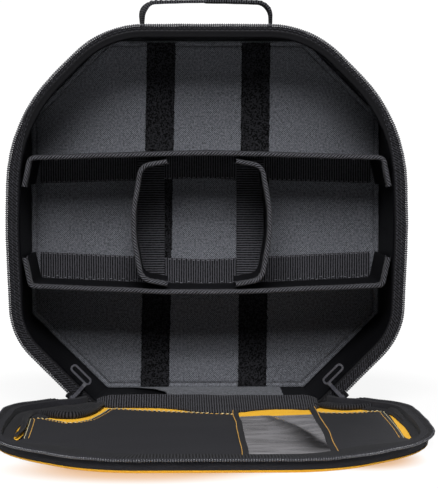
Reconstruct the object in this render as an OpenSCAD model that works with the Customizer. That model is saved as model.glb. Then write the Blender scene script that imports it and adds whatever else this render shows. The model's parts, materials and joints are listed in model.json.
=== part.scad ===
/* [Shell] */
// Depth from the mouth to the face of the back lining
shell_depth = 90; // [60:1:130]
// Clear width between the side walls at the mouth
mouth_w = 318; // [300:1:340]
// Clear width between the side walls at the back
back_w = 308; // [290:1:330]
// Clear height from the floor lining to the roof lining
inner_h = 308; // [290:1:330]
// Thickness of the padded walls
wall_t = 6; // [4:0.5:9]
// Corner cut of the octagonal back, measured along each side
back_cut = 66.5; // [50:0.5:80]
// Lower corner cut at the mouth
mouth_cut_low = 64; // [52:1:80]
// Upper corner cut at the mouth
mouth_cut_high = 76; // [60:1:90]
// Height of the widest point of the mouth above the floor lining
waist_z = 144; // [120:1:180]
// How far the sides draw in from the waist down to the lower corners
bow_low = 3.5; // [0:0.5:6]
// How far the sides draw in from the waist up to the upper corners
bow_high = 2; // [0:0.5:6]
// Corner radius all round the back
back_corner_r = 4; // [2:1:10]
// Thickness of the wall lining
lining_t = 1; // [0.6:0.1:2]
// Thickness of the padded back lining
back_lining_t = 2; // [1:0.5:4]
// Thickness of the stiff board behind the lining
board_t = 1.2; // [0.8:0.1:2]
// Thickness of the outer back cover
cover_t = 2.6; // [1.5:0.1:5]
// Radius of the piping round the back seam
piping_r = 1.3; // [0.8:0.1:2]

/* [Loop strips] */
// Width of the loop strips
loop_w = 25; // [20:1:40]
// Thickness of the loop strips
loop_t = 2; // [1:0.2:3]
// Centre of the left strip
loop_left_x = -42; // [-60:1:-36]
// Centre of the right strip
loop_right_x = 43; // [36:1:60]
// Strip ends stay this far from the floor and the roof
loop_end_gap = 2; // [1:1:20]

/* [Zip] */
// Thickness of the zip tape
tape_t = 1.2; // [0.8:0.1:1.6]
// How far the tape stands out past the wall
tape_reach = 2.7; // [2:0.1:4]
// How far the outer edge of the tape droops
tape_droop = 2; // [1:0.1:3]
// Radius of the zip coil
coil_r = 1.2; // [0.8:0.1:1.6]
// Radius of the end stops
stop_r = 1.5; // [1:0.1:2]
// Height of the diagonal point where the shell's tape starts
zip_start_z = 8.6; // [8.6:0.1:12]
// Height of the diagonal point where the lid's tape starts
lid_zip_start_z = 33; // [32:1:45]
// Length of a zip slider
slider_l = 10; // [8:0.5:12]
// Thickness of the slider's plates
slider_plate_t = 1.2; // [0.8:0.1:1.6]
// Height of the diagonal point where a slider is parked
slider_park_z = 18; // [18:0.5:24]
// Radius of the bar that holds the pull
bar_r = 0.85; // [0.6:0.05:1.2]
// Length of the pull's loop
pull_l = 22; // [14:1:26]
// Width of the pull's loop
pull_w = 7; // [6:0.5:9]
// Thickness of the pull's rod
pull_t = 1.6; // [1.2:0.1:2]

/* [Handle] */
// Distance between the handle's legs
handle_w = 110; // [80:1:140]
// Height of the handle above the roof
handle_h = 26; // [22:1:40]
// Width of the handle's webbing
handle_web_w = 20; // [16:1:25]
// Thickness of the doubled webbing
handle_t = 3.4; // [2:0.2:5]
// Radius of the handle's shoulders
handle_r = 12; // [6:1:18]
// Rise of the handle's top at its middle
handle_crown = 1.5; // [0:0.5:4]
// Radius of the gathered foot of each leg
handle_foot_r = 3.2; // [2:0.1:4]
// Length of the webbing sewn down on the roof
anchor_l = 34; // [20:1:50]
// Thickness of the sewn-down webbing
anchor_t = 2; // [1:0.2:3]

/* [Shelves] */
// Thickness of the shelf and divider foam
panel_t = 4; // [3:0.5:6]
// Height of the upper shelf at its folded ends
upper_end_z = 212.5; // [200:0.5:230]
// Height of the upper shelf at its middle
upper_mid_z = 217; // [200:0.5:235]
// Height of the lower shelf at its folded ends
lower_end_z = 104; // [90:0.5:120]
// Height of the lower shelf at its middle
lower_mid_z = 97; // [85:0.5:115]
// Length of the end flaps along the side walls
flap_l = 24; // [15:1:35]
// How far each flap's edge leans out past its fold
flap_lean = 5; // [2:0.5:8]
// Radius of the folds
fold_r = 5; // [4:0.5:9]
// Set-back of the front edges from the mouth
front_y = 8; // [4:0.5:20]
// Depth of the binding over a front edge
binding_l = 10; // [6:1:14]
// Thickness of the binding
binding_t = 0.7; // [0.4:0.1:1]
// Width of the back tabs
tab_w = 24; // [18:1:28]
// Thickness of the back tabs
tab_t = 1.6; // [1:0.1:2]
// Thickness of the hook patches
hook_t = 0.9; // [0.6:0.1:1.5]

/* [Dividers] */
// Free edge of the left divider's top and bottom flaps
left_tip_x = -34; // [-44:1:-26]
// Free edge of the right divider's top and bottom flaps
right_tip_x = 25; // [20:1:40]
// Reach of the flaps from the free edge to the fold
divider_reach = 22; // [16:1:26]
// Bulge of the divider's side past the folds
divider_bow = 8.5; // [2:0.5:12]
// Fall of each flap from its free edge to its fold
divider_fall = 4; // [1:0.5:8]
// Radius of the divider's folds
divider_r = 11; // [8:1:14]

/* [Lid] */
// Depth of the lid
lid_depth = 13; // [12.5:0.5:16]
// Thickness of the lid's padded side wall at the zip
lid_wall_t = 6; // [5:0.5:6]
// Thickness of the lid's padded face
lid_face_t = 3.5; // [3:0.5:5]
// Thickness of the lid lining
lid_lining_t = 1; // [0.6:0.1:1.4]
// Gap between the shell's zip and the lid's zip when the lid is shut
seam_gap = 0.6; // [0.4:0.1:1]
// Length of the corner relief beside the hinge
relief_l = 16; // [15:1:18]
// Half width of the hinge
hinge_half_w = 93; // [80:1:95]
// Width of the seam binding inside the lid
seam_binding_w = 7; // [5:1:10]
// Distance from the hinge to the mouth of the pockets
pocket_start = 39; // [38:1:60]
// Height of the pocket panels above the lining
pocket_gap = 3; // [2:0.5:3.5]
// Thickness of the pocket panels
pocket_t = 1.6; // [1:0.1:2]
// Thickness of the clear window
window_t = 0.8; // [0.5:0.1:1]
// Left edge of the clear window
window_left_x = 20; // [0:1:40]
// Right edge of the clear window
window_right_x = 88; // [60:1:110]
// Thickness of the hinge binding
hinge_binding_t = 1.4; // [1:0.1:2]
// Reach of the hinge binding over the lid
hinge_band_out = 24; // [16:1:30]
// Reach of the hinge binding into the shell
hinge_band_in = 10; // [6:1:16]
// Rise of the hinge binding above the shell's floor
hinge_band_rise = 3.6; // [2:0.2:5]

/* [Hidden] */
$fn = 32;

// Clearance between layers of one body, and between pieces that move apart
lay_gap = 0.1;
body_gap = 0.3;
// Points in each round stretch of an outline
arc_steps = 6;
// Corner radii of the mouth, from the floor up: foot, lower side, waist, upper side, roof
mouth_radii = [8, 50, 500, 125, 75];
// Colours
black_cloth = [0.09, 0.09, 0.10];
grey_lining = [0.30, 0.30, 0.32];
webbing_black = [0.13, 0.13, 0.14];
zip_black = [0.05, 0.05, 0.06];
foam_black = [0.07, 0.07, 0.08];
lid_yellow = [0.95, 0.68, 0.08];
clear_vinyl = [0.75, 0.78, 0.80, 0.45];

// Heights of the clear space, and the layers behind it
floor_z = wall_t;
roof_z = wall_t + inner_h;
roof_top_z = roof_z + wall_t;
board_y = shell_depth + back_lining_t + lay_gap;
cover_y = board_y + board_t + lay_gap;
wall_back_y = board_y - 2 * piping_r + lay_gap;
// Zip: the tape runs from the wall's inner edge to its own outer edge, where the coil sits
tape_edge = wall_t + tape_reach;
coil_at = tape_edge + coil_r;
coil_y = tape_droop + tape_t / 2;
// The lid turns about this line; the shut lid mirrors the shell's zip about hinge_y
hinge_y = -seam_gap / 2;
hinge_z = lid_depth;
lid_hinge_edge_z = hinge_z + body_gap;
relief_x = hinge_half_w + 10;
// The lid's layers, as depths behind the hinge line's plane
lid_outside_y = hinge_y - lid_depth;
lid_face_y = lid_outside_y + lid_face_t;
lid_lining_y = lid_face_y + lay_gap + lid_lining_t;
pocket_y = lid_lining_y + pocket_gap;
// Back tabs stand in front of the loop strips in this order, from the back
loop_face_y = shell_depth - loop_t;
hook_back_y = loop_face_y - body_gap;
shelf_tab_y = hook_back_y - hook_t - lay_gap - tab_t;
divider_tab_y = shelf_tab_y - body_gap - tab_t;
// Hook patches are narrower than the tab they are sewn on, and clear the other tabs
hook_w = tab_w - 4;
hook_room = 2;
// A bound front edge is this much thicker than its panel on each side
bound_half = panel_t / 2 + binding_t;
panel_front_y = front_y + binding_t + lay_gap;
stack_pitch = 2 * bound_half + body_gap;
// Slider: a channel round both coils, with room for them
slider_room = 0.4;
slider_in = wall_t + 2 * body_gap;
slider_out = coil_at + coil_r + slider_room;
slider_back_y = coil_y + coil_r + slider_room;
slider_front_y = 2 * hinge_y - slider_back_y;
post_t = 1.2;
post_h = 2.2;
bar_y = slider_front_y - slider_plate_t - post_h;
bar_half_l = slider_l / 2 - post_t;
// Pull: an eye round the bar, a neck that bends over the wall's edge, and a loop inside the shell
eye_r = 2;
eye_half_l = 2.2;
neck_w = 3;
neck_t = 1.4;
neck_high_bend = [1.5, bar_y + 1.6];
neck_low_bend = [-2.6, 1.2];
pull_dip_y = 2.2;
pull_offset = -5;
pull_below_neck = 3;
// Room between the shelves' bound flaps and the side walls
flap_room = 0.6;

// ---- Outlines -------------------------------------------------------------------------------
// A path is a list of [point, outward normal] pairs that turns anticlockwise, seen from the front.

function lerp(a, b, t) = a + (b - a) * t;
function unit(v) = v / norm(v);
function side(v) = [unit(v)[1], -unit(v)[0]];
function mirrored(q) = [[-q[0][0], q[0][1]], [-q[1][0], q[1][1]]];
function reversed(list) = [for (i = [len(list) - 1:-1:0]) list[i]];

// Round stretch of radius r at corner b, between the straight runs from a and to c
function corner_arc(a, b, c, r) =
    let (
        u = unit(a - b),
        v = unit(c - b),
        half = acos(u * v) / 2,
        bisector = half > 89.9 ? -side(c - a) : unit(u + v),
        centre = b + bisector * r / sin(half),
        start = b + u * r * cos(half) / sin(half) - centre,
        first = atan2(start[1], start[0]),
        turn = 180 - 2 * half
    )
    [for (i = [0:arc_steps])
        let (a = first + turn * i / arc_steps)
        [centre + r * [cos(a), sin(a)], [cos(a), sin(a)]]];

// Open path through the points, with a round stretch at each inner one
function bent_path(points, radii) =
    let (last = len(points) - 1)
    concat(
        [[points[0], side(points[1] - points[0])]],
        [for (i = [1:last - 1]) each corner_arc(points[i - 1], points[i], points[i + 1], radii[i - 1])],
        [[points[last], side(points[last] - points[last - 1])]]
    );

// Open path straight from point to point, whose normals reach the mitres of its bends
function mitred_path(points) =
    let (
        last = len(points) - 1,
        runs = [for (i = [0:last - 1]) unit(points[i + 1] - points[i])]
    )
    [for (i = [0:last])
        let (
            before = runs[max(i - 1, 0)],
            middle = unit(before + runs[min(i, last - 1)])
        )
        [points[i], side(middle) / (middle * before)]];

// The clear space's right-hand corners at depth y: foot, lower side, waist, upper side, roof
function wall_corners(y) =
    let (
        t = min(max(y / shell_depth, 0), 1),
        half_w = lerp(mouth_w, back_w, t) / 2,
        low = lerp(mouth_cut_low, back_cut, t),
        high = lerp(mouth_cut_high, back_cut, t),
        in_low = lerp(bow_low, 0, t),
        in_high = lerp(bow_high, 0, t)
    )
    [
        [half_w - low, floor_z],
        [half_w - in_low, floor_z + low - in_low],
        [half_w, floor_z + waist_z],
        [half_w - in_high, roof_z - high + in_high],
        [half_w - high, roof_z]
    ];

// Round stretches of the right-hand side at depth y, from the given corner up
function wall_side(y, from) =
    let (
        t = min(max(y / shell_depth, 0), 1),
        corners = wall_corners(y),
        ends = concat([[0, floor_z]], corners, [[0, roof_z]])
    )
    [for (i = [from:len(corners) - 1])
        each corner_arc(ends[i], ends[i + 1], ends[i + 2], lerp(mouth_radii[i], back_corner_r, t))];

// The whole outline of the clear space at depth y
function wall_outline(y) =
    let (right = wall_side(y, 0))
    concat(right, reversed([for (q = right) mirrored(q)]));

// Point of the mouth's lower right diagonal at height z
diagonal_offset = mouth_w / 2 - mouth_cut_low - floor_z;
function diagonal_point(z) = [[z + diagonal_offset, z], [sqrt(0.5), -sqrt(0.5)]];

// The mouth's outline without its floor, from height z on one diagonal round to the other
function mouth_path(z) =
    let (right = concat([diagonal_point(z)], wall_side(0, 1)))
    concat(right, reversed([for (q = right) mirrored(q)]));

// Half of the clear width between the side walls at depth y and height z
function side_x(y, z) =
    let (
        corners = wall_corners(y),
        low = z < corners[2][1] ? corners[1] : corners[2],
        high = z < corners[2][1] ? corners[2] : corners[3]
    )
    lerp(low[0], high[0], (z - low[1]) / (high[1] - low[1]));

// Corners of a shelf at depth y: rise is 1 where the flaps hang down and -1 where they stand up
function shelf_points(y, end_z, mid_z, rise) =
    let (
        tip_z = end_z - rise * flap_l,
        tip_x = side_x(y, tip_z) - bound_half - flap_room,
        fold_x = tip_x - flap_lean
    )
    [
        [rise * tip_x, tip_z],
        [rise * fold_x, end_z],
        [0, mid_z],
        [-rise * fold_x, end_z],
        [-rise * tip_x, tip_z]
    ];
shelf_radii = [fold_r, 1500, fold_r];
function upper_path(y) = bent_path(shelf_points(y, upper_end_z, upper_mid_z, 1), shelf_radii);
function lower_path(y) = bent_path(shelf_points(y, lower_end_z, lower_mid_z, -1), shelf_radii);

// Height of a shelf's middle line at x, at the back where the dividers meet it
shelf_fold_x = back_w / 2 - bound_half - flap_room - flap_lean;
function shelf_z(x, end_z, mid_z) = lerp(mid_z, end_z, abs(x) / shelf_fold_x);

// A divider from its tip under the upper shelf to its tip on the lower one.
// way is -1 for the left divider, which bulges to the left, and 1 for the right one.
function divider_points(tip_x, way) =
    let (
        fold_x = tip_x + way * divider_reach,
        top = min(shelf_z(tip_x, upper_end_z, upper_mid_z), shelf_z(fold_x, upper_end_z, upper_mid_z))
            - stack_pitch,
        foot = max(shelf_z(tip_x, lower_end_z, lower_mid_z), shelf_z(fold_x, lower_end_z, lower_mid_z))
            + stack_pitch,
        points = [
            [tip_x, top],
            [fold_x, top - divider_fall],
            [fold_x + way * divider_bow, (top + foot) / 2],
            [fold_x, foot + divider_fall],
            [tip_x, foot]
        ]
    )
    way < 0 ? points : reversed(points);
divider_radii = [divider_r, 120, divider_r];

// ---- Solids from outlines -------------------------------------------------------------------

// Everything is drawn with y = 0 at the mouth, then set with the origin under the shell's middle
module from_mouth() {
    translate([0, -shell_depth / 2, 0]) children();
}

// Turns what is drawn on the shut lid down to the open lid that lies flat
module opened() {
    translate([0, hinge_y, hinge_z]) rotate([90, 0, 0]) translate([0, -hinge_y, -hinge_z]) children();
}

// Offsets and depths of a profile, carried along the path that path_at gives for each depth
function rings(path_at, profile) =
    [for (c = profile)
        [for (q = path_at(c[1])) [q[0][0] + c[0] * q[1][0], c[1], q[0][1] + c[0] * q[1][1]]]];
function across(rings) = [for (i = [0:len(rings[0]) - 1]) [for (r = rings) r[i]]];

// Joins one section to the next; a closed run joins the last to the first, an open one has ends.
// Every side is split from its front corner to the next one's back corner, so layers stay parallel.
module joined(sections, closed) {
    count = len(sections);
    k = len(sections[0]);
    last = closed ? count - 1 : count - 2;
    sides = [for (i = [0:last], j = [0:k - 1])
        let (
            here = i * k,
            next = ((i + 1) % count) * k,
            j2 = (j + 1) % k,
            forward = sections[i][j2][1] < sections[i][j][1]
        )
        each forward
            ? [[here + j, here + j2, next + j], [here + j2, next + j2, next + j]]
            : [[here + j, here + j2, next + j2], [here + j, next + j2, next + j]]];
    ends = closed ? [] : [[for (j = [k - 1:-1:0]) j], [for (j = [0:k - 1]) (count - 1) * k + j]];
    polyhedron([for (s = sections) each s], concat(sides, ends));
}

// Profile points go anticlockwise with the offset to the right and the depth up
module swept(path_at, profile, closed = false) {
    joined(across(rings(path_at, profile)), closed);
}

// A ribbon of thickness t along a path, as a flat shape
module ribbon(path, t) {
    polygon(concat(
        [for (q = path) q[0] + q[1] * t / 2],
        reversed([for (q = path) q[0] - q[1] * t / 2])
    ));
}

// A flat shape in x and z, from depth y0 to y1
module upright(y0, y1) {
    translate([0, y1, 0]) rotate([90, 0, 0]) linear_extrude(y1 - y0) children();
}

module outline_shape(y, offset) {
    polygon([for (q = wall_outline(y)) q[0] + offset * q[1]]);
}

module wall_plate(y0, y1, outline_y, offset) {
    upright(y0, y1) outline_shape(outline_y, offset);
}

function box_profile(in, out, y0, y1) = [[in, y0], [out, y0], [out, y1], [in, y1]];
function round_profile(centre, y, r) = [for (a = [0:45:315]) [centre + r * cos(a), y + r * sin(a)]];

// ---- Shell ----------------------------------------------------------------------------------

module wall_gusset() {
    inside = lining_t + lay_gap;
    front = tape_t + lay_gap;
    color(black_cloth) from_mouth()
        swept(function(y) wall_outline(y), box_profile(inside, wall_t, front, wall_back_y), true);
}

module wall_lining() {
    front = tape_t + lay_gap;
    back = shell_depth + back_lining_t;
    color(foam_black) from_mouth()
        swept(
            function(y) wall_outline(y),
            [
                [0, front], [lining_t, front], [lining_t, wall_back_y],
                [lining_t, back], [0, back], [0, wall_back_y]
            ],
            true
        );
}

module back_lining() {
    color(grey_lining) from_mouth()
        wall_plate(shell_depth, shell_depth + back_lining_t, shell_depth, -2 * lay_gap);
}

module back_board() {
    color(foam_black) from_mouth()
        wall_plate(board_y, board_y + board_t, shell_depth, wall_t - 2 * piping_r - 2 * lay_gap);
}

module back_cover() {
    color(black_cloth) from_mouth()
        wall_plate(cover_y, cover_y + cover_t, shell_depth, wall_t - piping_r / 2);
}

module back_piping() {
    centre = wall_t - lay_gap - piping_r;
    color(webbing_black) from_mouth()
        swept(function(y) wall_outline(shell_depth), round_profile(centre, board_y, piping_r), true);
}

module loop_strip(x) {
    color(webbing_black) from_mouth()
        translate([x - loop_w / 2, loop_face_y, floor_z + loop_end_gap])
            cube([loop_w, loop_t - lay_gap, inner_h - 2 * loop_end_gap]);
}
module loop_strip_left() {
    loop_strip(loop_left_x);
}
module loop_strip_right() {
    loop_strip(loop_right_x);
}

// Tape from the wall's inner edge out past the wall, then down to its outer edge
tape_profile = [
    [0, 0], [wall_t, 0], [tape_edge, tape_droop],
    [tape_edge, tape_droop + tape_t], [wall_t, tape_t], [0, tape_t]
];
// The same profile on the shut lid
function on_lid(profile) = reversed([for (c = profile) [c[0], 2 * hinge_y - c[1]]]);

// A stop's length, and the coil that starts just past it
stop_l = 2.4;

module zip_stops(start_z, profile) {
    right = [diagonal_point(start_z), diagonal_point(start_z + stop_l)];
    left = reversed([for (q = right) mirrored(q)]);
    swept(function(y) right, profile);
    swept(function(y) left, profile);
}

module shell_zip_tape() {
    color(webbing_black) from_mouth() swept(function(y) mouth_path(zip_start_z), tape_profile);
}

module shell_zip_coil() {
    color(zip_black) from_mouth()
        swept(
            function(y) mouth_path(zip_start_z + stop_l + lay_gap),
            round_profile(coil_at, coil_y, coil_r - lay_gap)
        );
}

module shell_zip_stops() {
    color(zip_black) from_mouth()
        zip_stops(zip_start_z, round_profile(coil_at + stop_r - coil_r, coil_y, stop_r - lay_gap));
}

// ---- Handle ---------------------------------------------------------------------------------

module handle_anchor(way) {
    color(webbing_black) from_mouth()
        translate([
            way * (handle_w / 2 + anchor_l / 2 - handle_t) - anchor_l / 2,
            shell_depth / 2 - handle_web_w / 2,
            roof_top_z + lay_gap
        ])
            cube([anchor_l, handle_web_w, anchor_t]);
}
module handle_anchor_left() {
    handle_anchor(-1);
}
module handle_anchor_right() {
    handle_anchor(1);
}

// The loop's arch seen from the front, cut to the gathered legs seen from the side
handle_axis_z = roof_top_z + lay_gap + anchor_t + body_gap + handle_foot_r;
handle_top_z = roof_top_z + handle_h;
module handle_webbing() {
    half = handle_w / 2;
    arch = bent_path(
        [
            [half, handle_axis_z - handle_foot_r],
            [half, handle_top_z - handle_crown],
            [0, handle_top_z],
            [-half, handle_top_z - handle_crown],
            [-half, handle_axis_z - handle_foot_r]
        ],
        [handle_r, 900, handle_r]
    );
    gather_h = (handle_web_w / 2 - handle_foot_r) / tan(30);
    color(webbing_black) from_mouth() intersection() {
        upright(0, shell_depth) ribbon(arch, handle_t);
        translate([-handle_w, shell_depth / 2, handle_axis_z])
            rotate([90, 0, 90])
                linear_extrude(2 * handle_w) {
                    circle(handle_foot_r);
                    polygon([
                        [-handle_foot_r, 0], [handle_foot_r, 0],
                        [handle_web_w / 2, gather_h], [handle_web_w / 2, handle_h],
                        [-handle_web_w / 2, handle_h], [-handle_web_w / 2, gather_h]
                    ]);
                }
    }
}

// ---- Hinge ----------------------------------------------------------------------------------

// One band of webbing from the shell's floor over the hinge line to the lid's lining
module hinge_binding() {
    half_t = hinge_binding_t / 2;
    lid_z = hinge_z + lid_lining_y - hinge_y;
    band = bent_path(
        [
            [hinge_band_in, floor_z + half_t + 2 * lay_gap],
            [hinge_y, floor_z + hinge_band_rise + half_t],
            [-hinge_band_out, lid_z + half_t + 2 * lay_gap]
        ],
        [8]
    );
    color(webbing_black) from_mouth()
        translate([-hinge_half_w, 0, 0])
            rotate([90, 0, 90])
                linear_extrude(2 * hinge_half_w)
                    ribbon(band, hinge_binding_t);
}

// ---- Sliders and pulls ----------------------------------------------------------------------

// Sets a slider's own axes on the zip: x out of the mouth, z up along the diagonal
module on_zip(way) {
    park = diagonal_point(slider_park_z)[0];
    mirror([way < 0 ? 1 : 0, 0, 0]) translate([park[0], 0, park[1]]) rotate([0, 45, 0]) children();
}

module slider(way) {
    depth = slider_back_y - slider_front_y + 2 * slider_plate_t;
    plate = [slider_out - slider_in + slider_plate_t, slider_plate_t, slider_l];
    color(zip_black) from_mouth() on_zip(way) {
        translate([slider_in, slider_back_y, -slider_l / 2]) cube(plate);
        translate([slider_in, slider_front_y - slider_plate_t, -slider_l / 2]) cube(plate);
        translate([slider_out, slider_front_y - slider_plate_t, -slider_l / 2])
            cube([slider_plate_t, depth, slider_l]);
        for (end = [-1, 1])
            translate([coil_at - bar_r, bar_y - bar_r, end * bar_half_l - post_t / 2])
                cube([2 * bar_r, slider_front_y - bar_y + bar_r, post_t]);
        translate([coil_at, bar_y, -bar_half_l]) cylinder(r = bar_r, h = 2 * bar_half_l);
    }
}
module slider_left() {
    slider(-1);
}
module slider_right() {
    slider(1);
}

// A stadium-shaped rod loop on a bent neck, with an eye round the slider's bar
module pull(way) {
    neck = [
        [coil_at - eye_r + neck_t / 2, bar_y],
        neck_high_bend,
        neck_low_bend,
        [pull_offset - pull_t / 2, pull_dip_y + pull_t / 2]
    ];
    color(zip_black) from_mouth() on_zip(way) {
        difference() {
            union() {
                translate([coil_at, bar_y, -eye_half_l]) cylinder(r = eye_r, h = 2 * eye_half_l);
                translate([0, 0, -neck_w / 2])
                    linear_extrude(neck_w)
                        ribbon(mitred_path(neck), neck_t);
            }
            translate([coil_at, bar_y, -slider_l]) cylinder(r = bar_r + lay_gap, h = 2 * slider_l);
        }
        translate([pull_offset - pull_w / 2, pull_dip_y + pull_t, pull_l / 2 - pull_below_neck])
            rotate([90, 0, 0])
                linear_extrude(pull_t) difference() {
                    rounded_bar(pull_w, pull_l);
                    rounded_bar(pull_w - 2 * pull_t, pull_l - 2 * pull_t);
                }
    }
}
// A w by l bar with round ends, each with a flat that is a few tenths wide
module rounded_bar(w, l) {
    corners = [[w / 2, -l / 2], [w / 2, l / 2], [-w / 2, l / 2], [-w / 2, -l / 2]];
    polygon([for (i = [0:3])
        each [for (q = corner_arc(corners[(i + 3) % 4], corners[i], corners[(i + 1) % 4], w / 2 - lay_gap))
            q[0]]]);
}
module pull_left() {
    pull(-1);
}
module pull_right() {
    pull(1);
}

// ---- Shelves --------------------------------------------------------------------------------

panel_profile = box_profile(-panel_t / 2, panel_t / 2, panel_front_y, shelf_tab_y - lay_gap);
divider_profile = box_profile(-panel_t / 2, panel_t / 2, panel_front_y, divider_tab_y - lay_gap);

// A tape folded over a front edge, as a U in section
bare_half = panel_t / 2 + lay_gap;
binding_profile = [
    [-bound_half, front_y], [bound_half, front_y], [bound_half, front_y + binding_l],
    [bare_half, front_y + binding_l], [bare_half, front_y + binding_t],
    [-bare_half, front_y + binding_t], [-bare_half, front_y + binding_l],
    [-bound_half, front_y + binding_l]
];

module shelf_tab(end_z, mid_z, rise) {
    line = shelf_points(shell_depth, end_z, mid_z, rise);
    color(webbing_black) from_mouth()
        swept(
            function(y) bent_path([line[1], line[2], line[3]], [1500]),
            box_profile(-tab_w, panel_t / 4, shelf_tab_y, shelf_tab_y + tab_t)
        );
}

// Hook patches behind a shelf's tab, one on each loop strip
module shelf_hooks(end_z, mid_z, rise) {
    color(zip_black) from_mouth()
        for (x = [loop_left_x, loop_right_x])
            translate([
                x - hook_w / 2,
                hook_back_y - hook_t,
                shelf_z(x, end_z, mid_z) - rise * tab_w / 2 - hook_w / 2
            ])
                cube([hook_w, hook_t, hook_w]);
}

module upper_shelf() {
    color(foam_black) from_mouth() swept(function(y) upper_path(y), panel_profile);
}
module upper_shelf_binding() {
    color(webbing_black) from_mouth() swept(function(y) upper_path(y), binding_profile);
}
module upper_shelf_tab() {
    shelf_tab(upper_end_z, upper_mid_z, 1);
}
module upper_shelf_hooks() {
    shelf_hooks(upper_end_z, upper_mid_z, 1);
}
module lower_shelf() {
    color(foam_black) from_mouth() swept(function(y) lower_path(y), panel_profile);
}
module lower_shelf_binding() {
    color(webbing_black) from_mouth() swept(function(y) lower_path(y), binding_profile);
}
module lower_shelf_tab() {
    shelf_tab(lower_end_z, lower_mid_z, -1);
}
module lower_shelf_hooks() {
    shelf_hooks(lower_end_z, lower_mid_z, -1);
}

// ---- Dividers -------------------------------------------------------------------------------

module divider(tip_x, way, profile) {
    path = bent_path(divider_points(tip_x, way), divider_radii);
    swept(function(y) path, profile);
}

// The tab lies behind the divider and turns in towards the middle cell
module divider_tab(tip_x, way) {
    points = divider_points(tip_x, way);
    low = min(points[0][1], points[4][1]);
    high = max(points[0][1], points[4][1]);
    outer_x = tip_x + way * (divider_reach + divider_bow / 2);
    color(webbing_black) from_mouth()
        translate([min(outer_x, outer_x - way * tab_w), divider_tab_y, low])
            cube([tab_w, tab_t, high - low]);
}

// Hook patch between the shelves' own tabs, thick enough to reach the loop strip
module divider_hooks(tip_x, way) {
    middle_x = tip_x + way * (divider_reach + divider_bow / 2 - tab_w / 2);
    x0 = middle_x - hook_w / 2;
    x1 = middle_x + hook_w / 2;
    low = max(shelf_z(x0, lower_end_z, lower_mid_z), shelf_z(x1, lower_end_z, lower_mid_z))
        + tab_w + hook_room;
    high = min(shelf_z(x0, upper_end_z, upper_mid_z), shelf_z(x1, upper_end_z, upper_mid_z))
        - tab_w - hook_room;
    color(zip_black) from_mouth()
        translate([x0, divider_tab_y + tab_t + lay_gap, low])
            cube([hook_w, hook_back_y - divider_tab_y - tab_t - lay_gap, high - low]);
}

module left_divider() {
    color(foam_black) from_mouth() divider(left_tip_x, -1, divider_profile);
}
module left_divider_binding() {
    color(webbing_black) from_mouth() divider(left_tip_x, -1, binding_profile);
}
module left_divider_tab() {
    divider_tab(left_tip_x, -1);
}
module left_divider_hooks() {
    divider_hooks(left_tip_x, -1);
}
module right_divider() {
    color(foam_black) from_mouth() divider(right_tip_x, 1, divider_profile);
}
module right_divider_binding() {
    color(webbing_black) from_mouth() divider(right_tip_x, 1, binding_profile);
}
module right_divider_tab() {
    divider_tab(right_tip_x, 1);
}
module right_divider_hooks() {
    divider_hooks(right_tip_x, 1);
}

// ---- Lid ------------------------------------------------------------------------------------

// Keeps what lies past the hinge edge, less the relief beside each end of the hinge
module past_hinge() {
    reach = 2 * mouth_w;
    difference() {
        intersection() {
            children();
            translate([-reach, -reach, lid_hinge_edge_z]) cube(2 * reach);
        }
        for (way = [-1, 1])
            translate([way < 0 ? -reach : relief_x, -reach / 2, 0])
                cube([reach - relief_x, reach, hinge_z + relief_l]);
    }
}

// A padded face that lies flat on the ground within its rounded edge.
// Each level is an offset from the clear space's outline and a height above the ground.
dome_levels = [[-20, 0], [-9, 0.2], [-1, 0.7], [4, 1.8]];
sheet_t = 0.01;
module lid_face() {
    levels = concat(dome_levels, [[lid_wall_t - 0.8, lid_face_t - sheet_t]]);
    color(lid_yellow) from_mouth() opened() past_hinge() hull()
        for (c = levels)
            upright(lid_outside_y + c[1], lid_outside_y + c[1] + sheet_t)
                offset(delta = c[0]) outline_shape(0, 0);
}

module lid_lining() {
    color(lid_yellow) from_mouth() opened() past_hinge()
        wall_plate(lid_face_y + lay_gap, lid_lining_y, 0, -2 * lay_gap);
}

module lid_gusset() {
    back = lid_face_y + lay_gap;
    front = 2 * hinge_y - tape_t - lay_gap;
    color(black_cloth) from_mouth() opened()
        swept(
            function(y) mouth_path(lid_zip_start_z),
            [[lay_gap, back], [lid_wall_t - 0.8, back], [lid_wall_t, front], [lay_gap, front]]
        );
}

module lid_seam_binding() {
    back = lid_lining_y + lay_gap;
    color(webbing_black) from_mouth() opened()
        swept(
            function(y) mouth_path(lid_zip_start_z),
            box_profile(-seam_binding_w, -lay_gap, back, back + tape_t)
        );
}

module lid_zip_tape() {
    color(webbing_black) from_mouth() opened()
        swept(function(y) mouth_path(lid_zip_start_z), on_lid(tape_profile));
}

module lid_zip_coil() {
    color(zip_black) from_mouth() opened()
        swept(
            function(y) mouth_path(lid_zip_start_z + stop_l + lay_gap),
            on_lid(round_profile(coil_at, coil_y, coil_r - lay_gap))
        );
}

module lid_zip_stops() {
    color(zip_black) from_mouth() opened()
        zip_stops(
            lid_zip_start_z,
            on_lid(round_profile(coil_at + stop_r - coil_r, coil_y, stop_r - lay_gap))
        );
}

// The part of the lid's inside between x0 and x1, from the pocket mouths to the far wall
module pocket_panel(x0, x1, t) {
    middle_y = pocket_y + pocket_t / 2;
    intersection() {
        wall_plate(middle_y - t / 2, middle_y + t / 2, 0, -2 * lay_gap);
        translate([x0, -mouth_w, hinge_z + pocket_start]) cube([x1 - x0, 2 * mouth_w, 2 * inner_h]);
    }
}
module lid_pocket_left() {
    color(black_cloth) from_mouth() opened() pocket_panel(-mouth_w, window_left_x, pocket_t);
}
module lid_pocket_right() {
    color(black_cloth) from_mouth() opened() pocket_panel(window_right_x, mouth_w, pocket_t);
}
module lid_window() {
    color(clear_vinyl) from_mouth() opened()
        pocket_panel(window_left_x + lay_gap, window_right_x - lay_gap, window_t);
}

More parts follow.
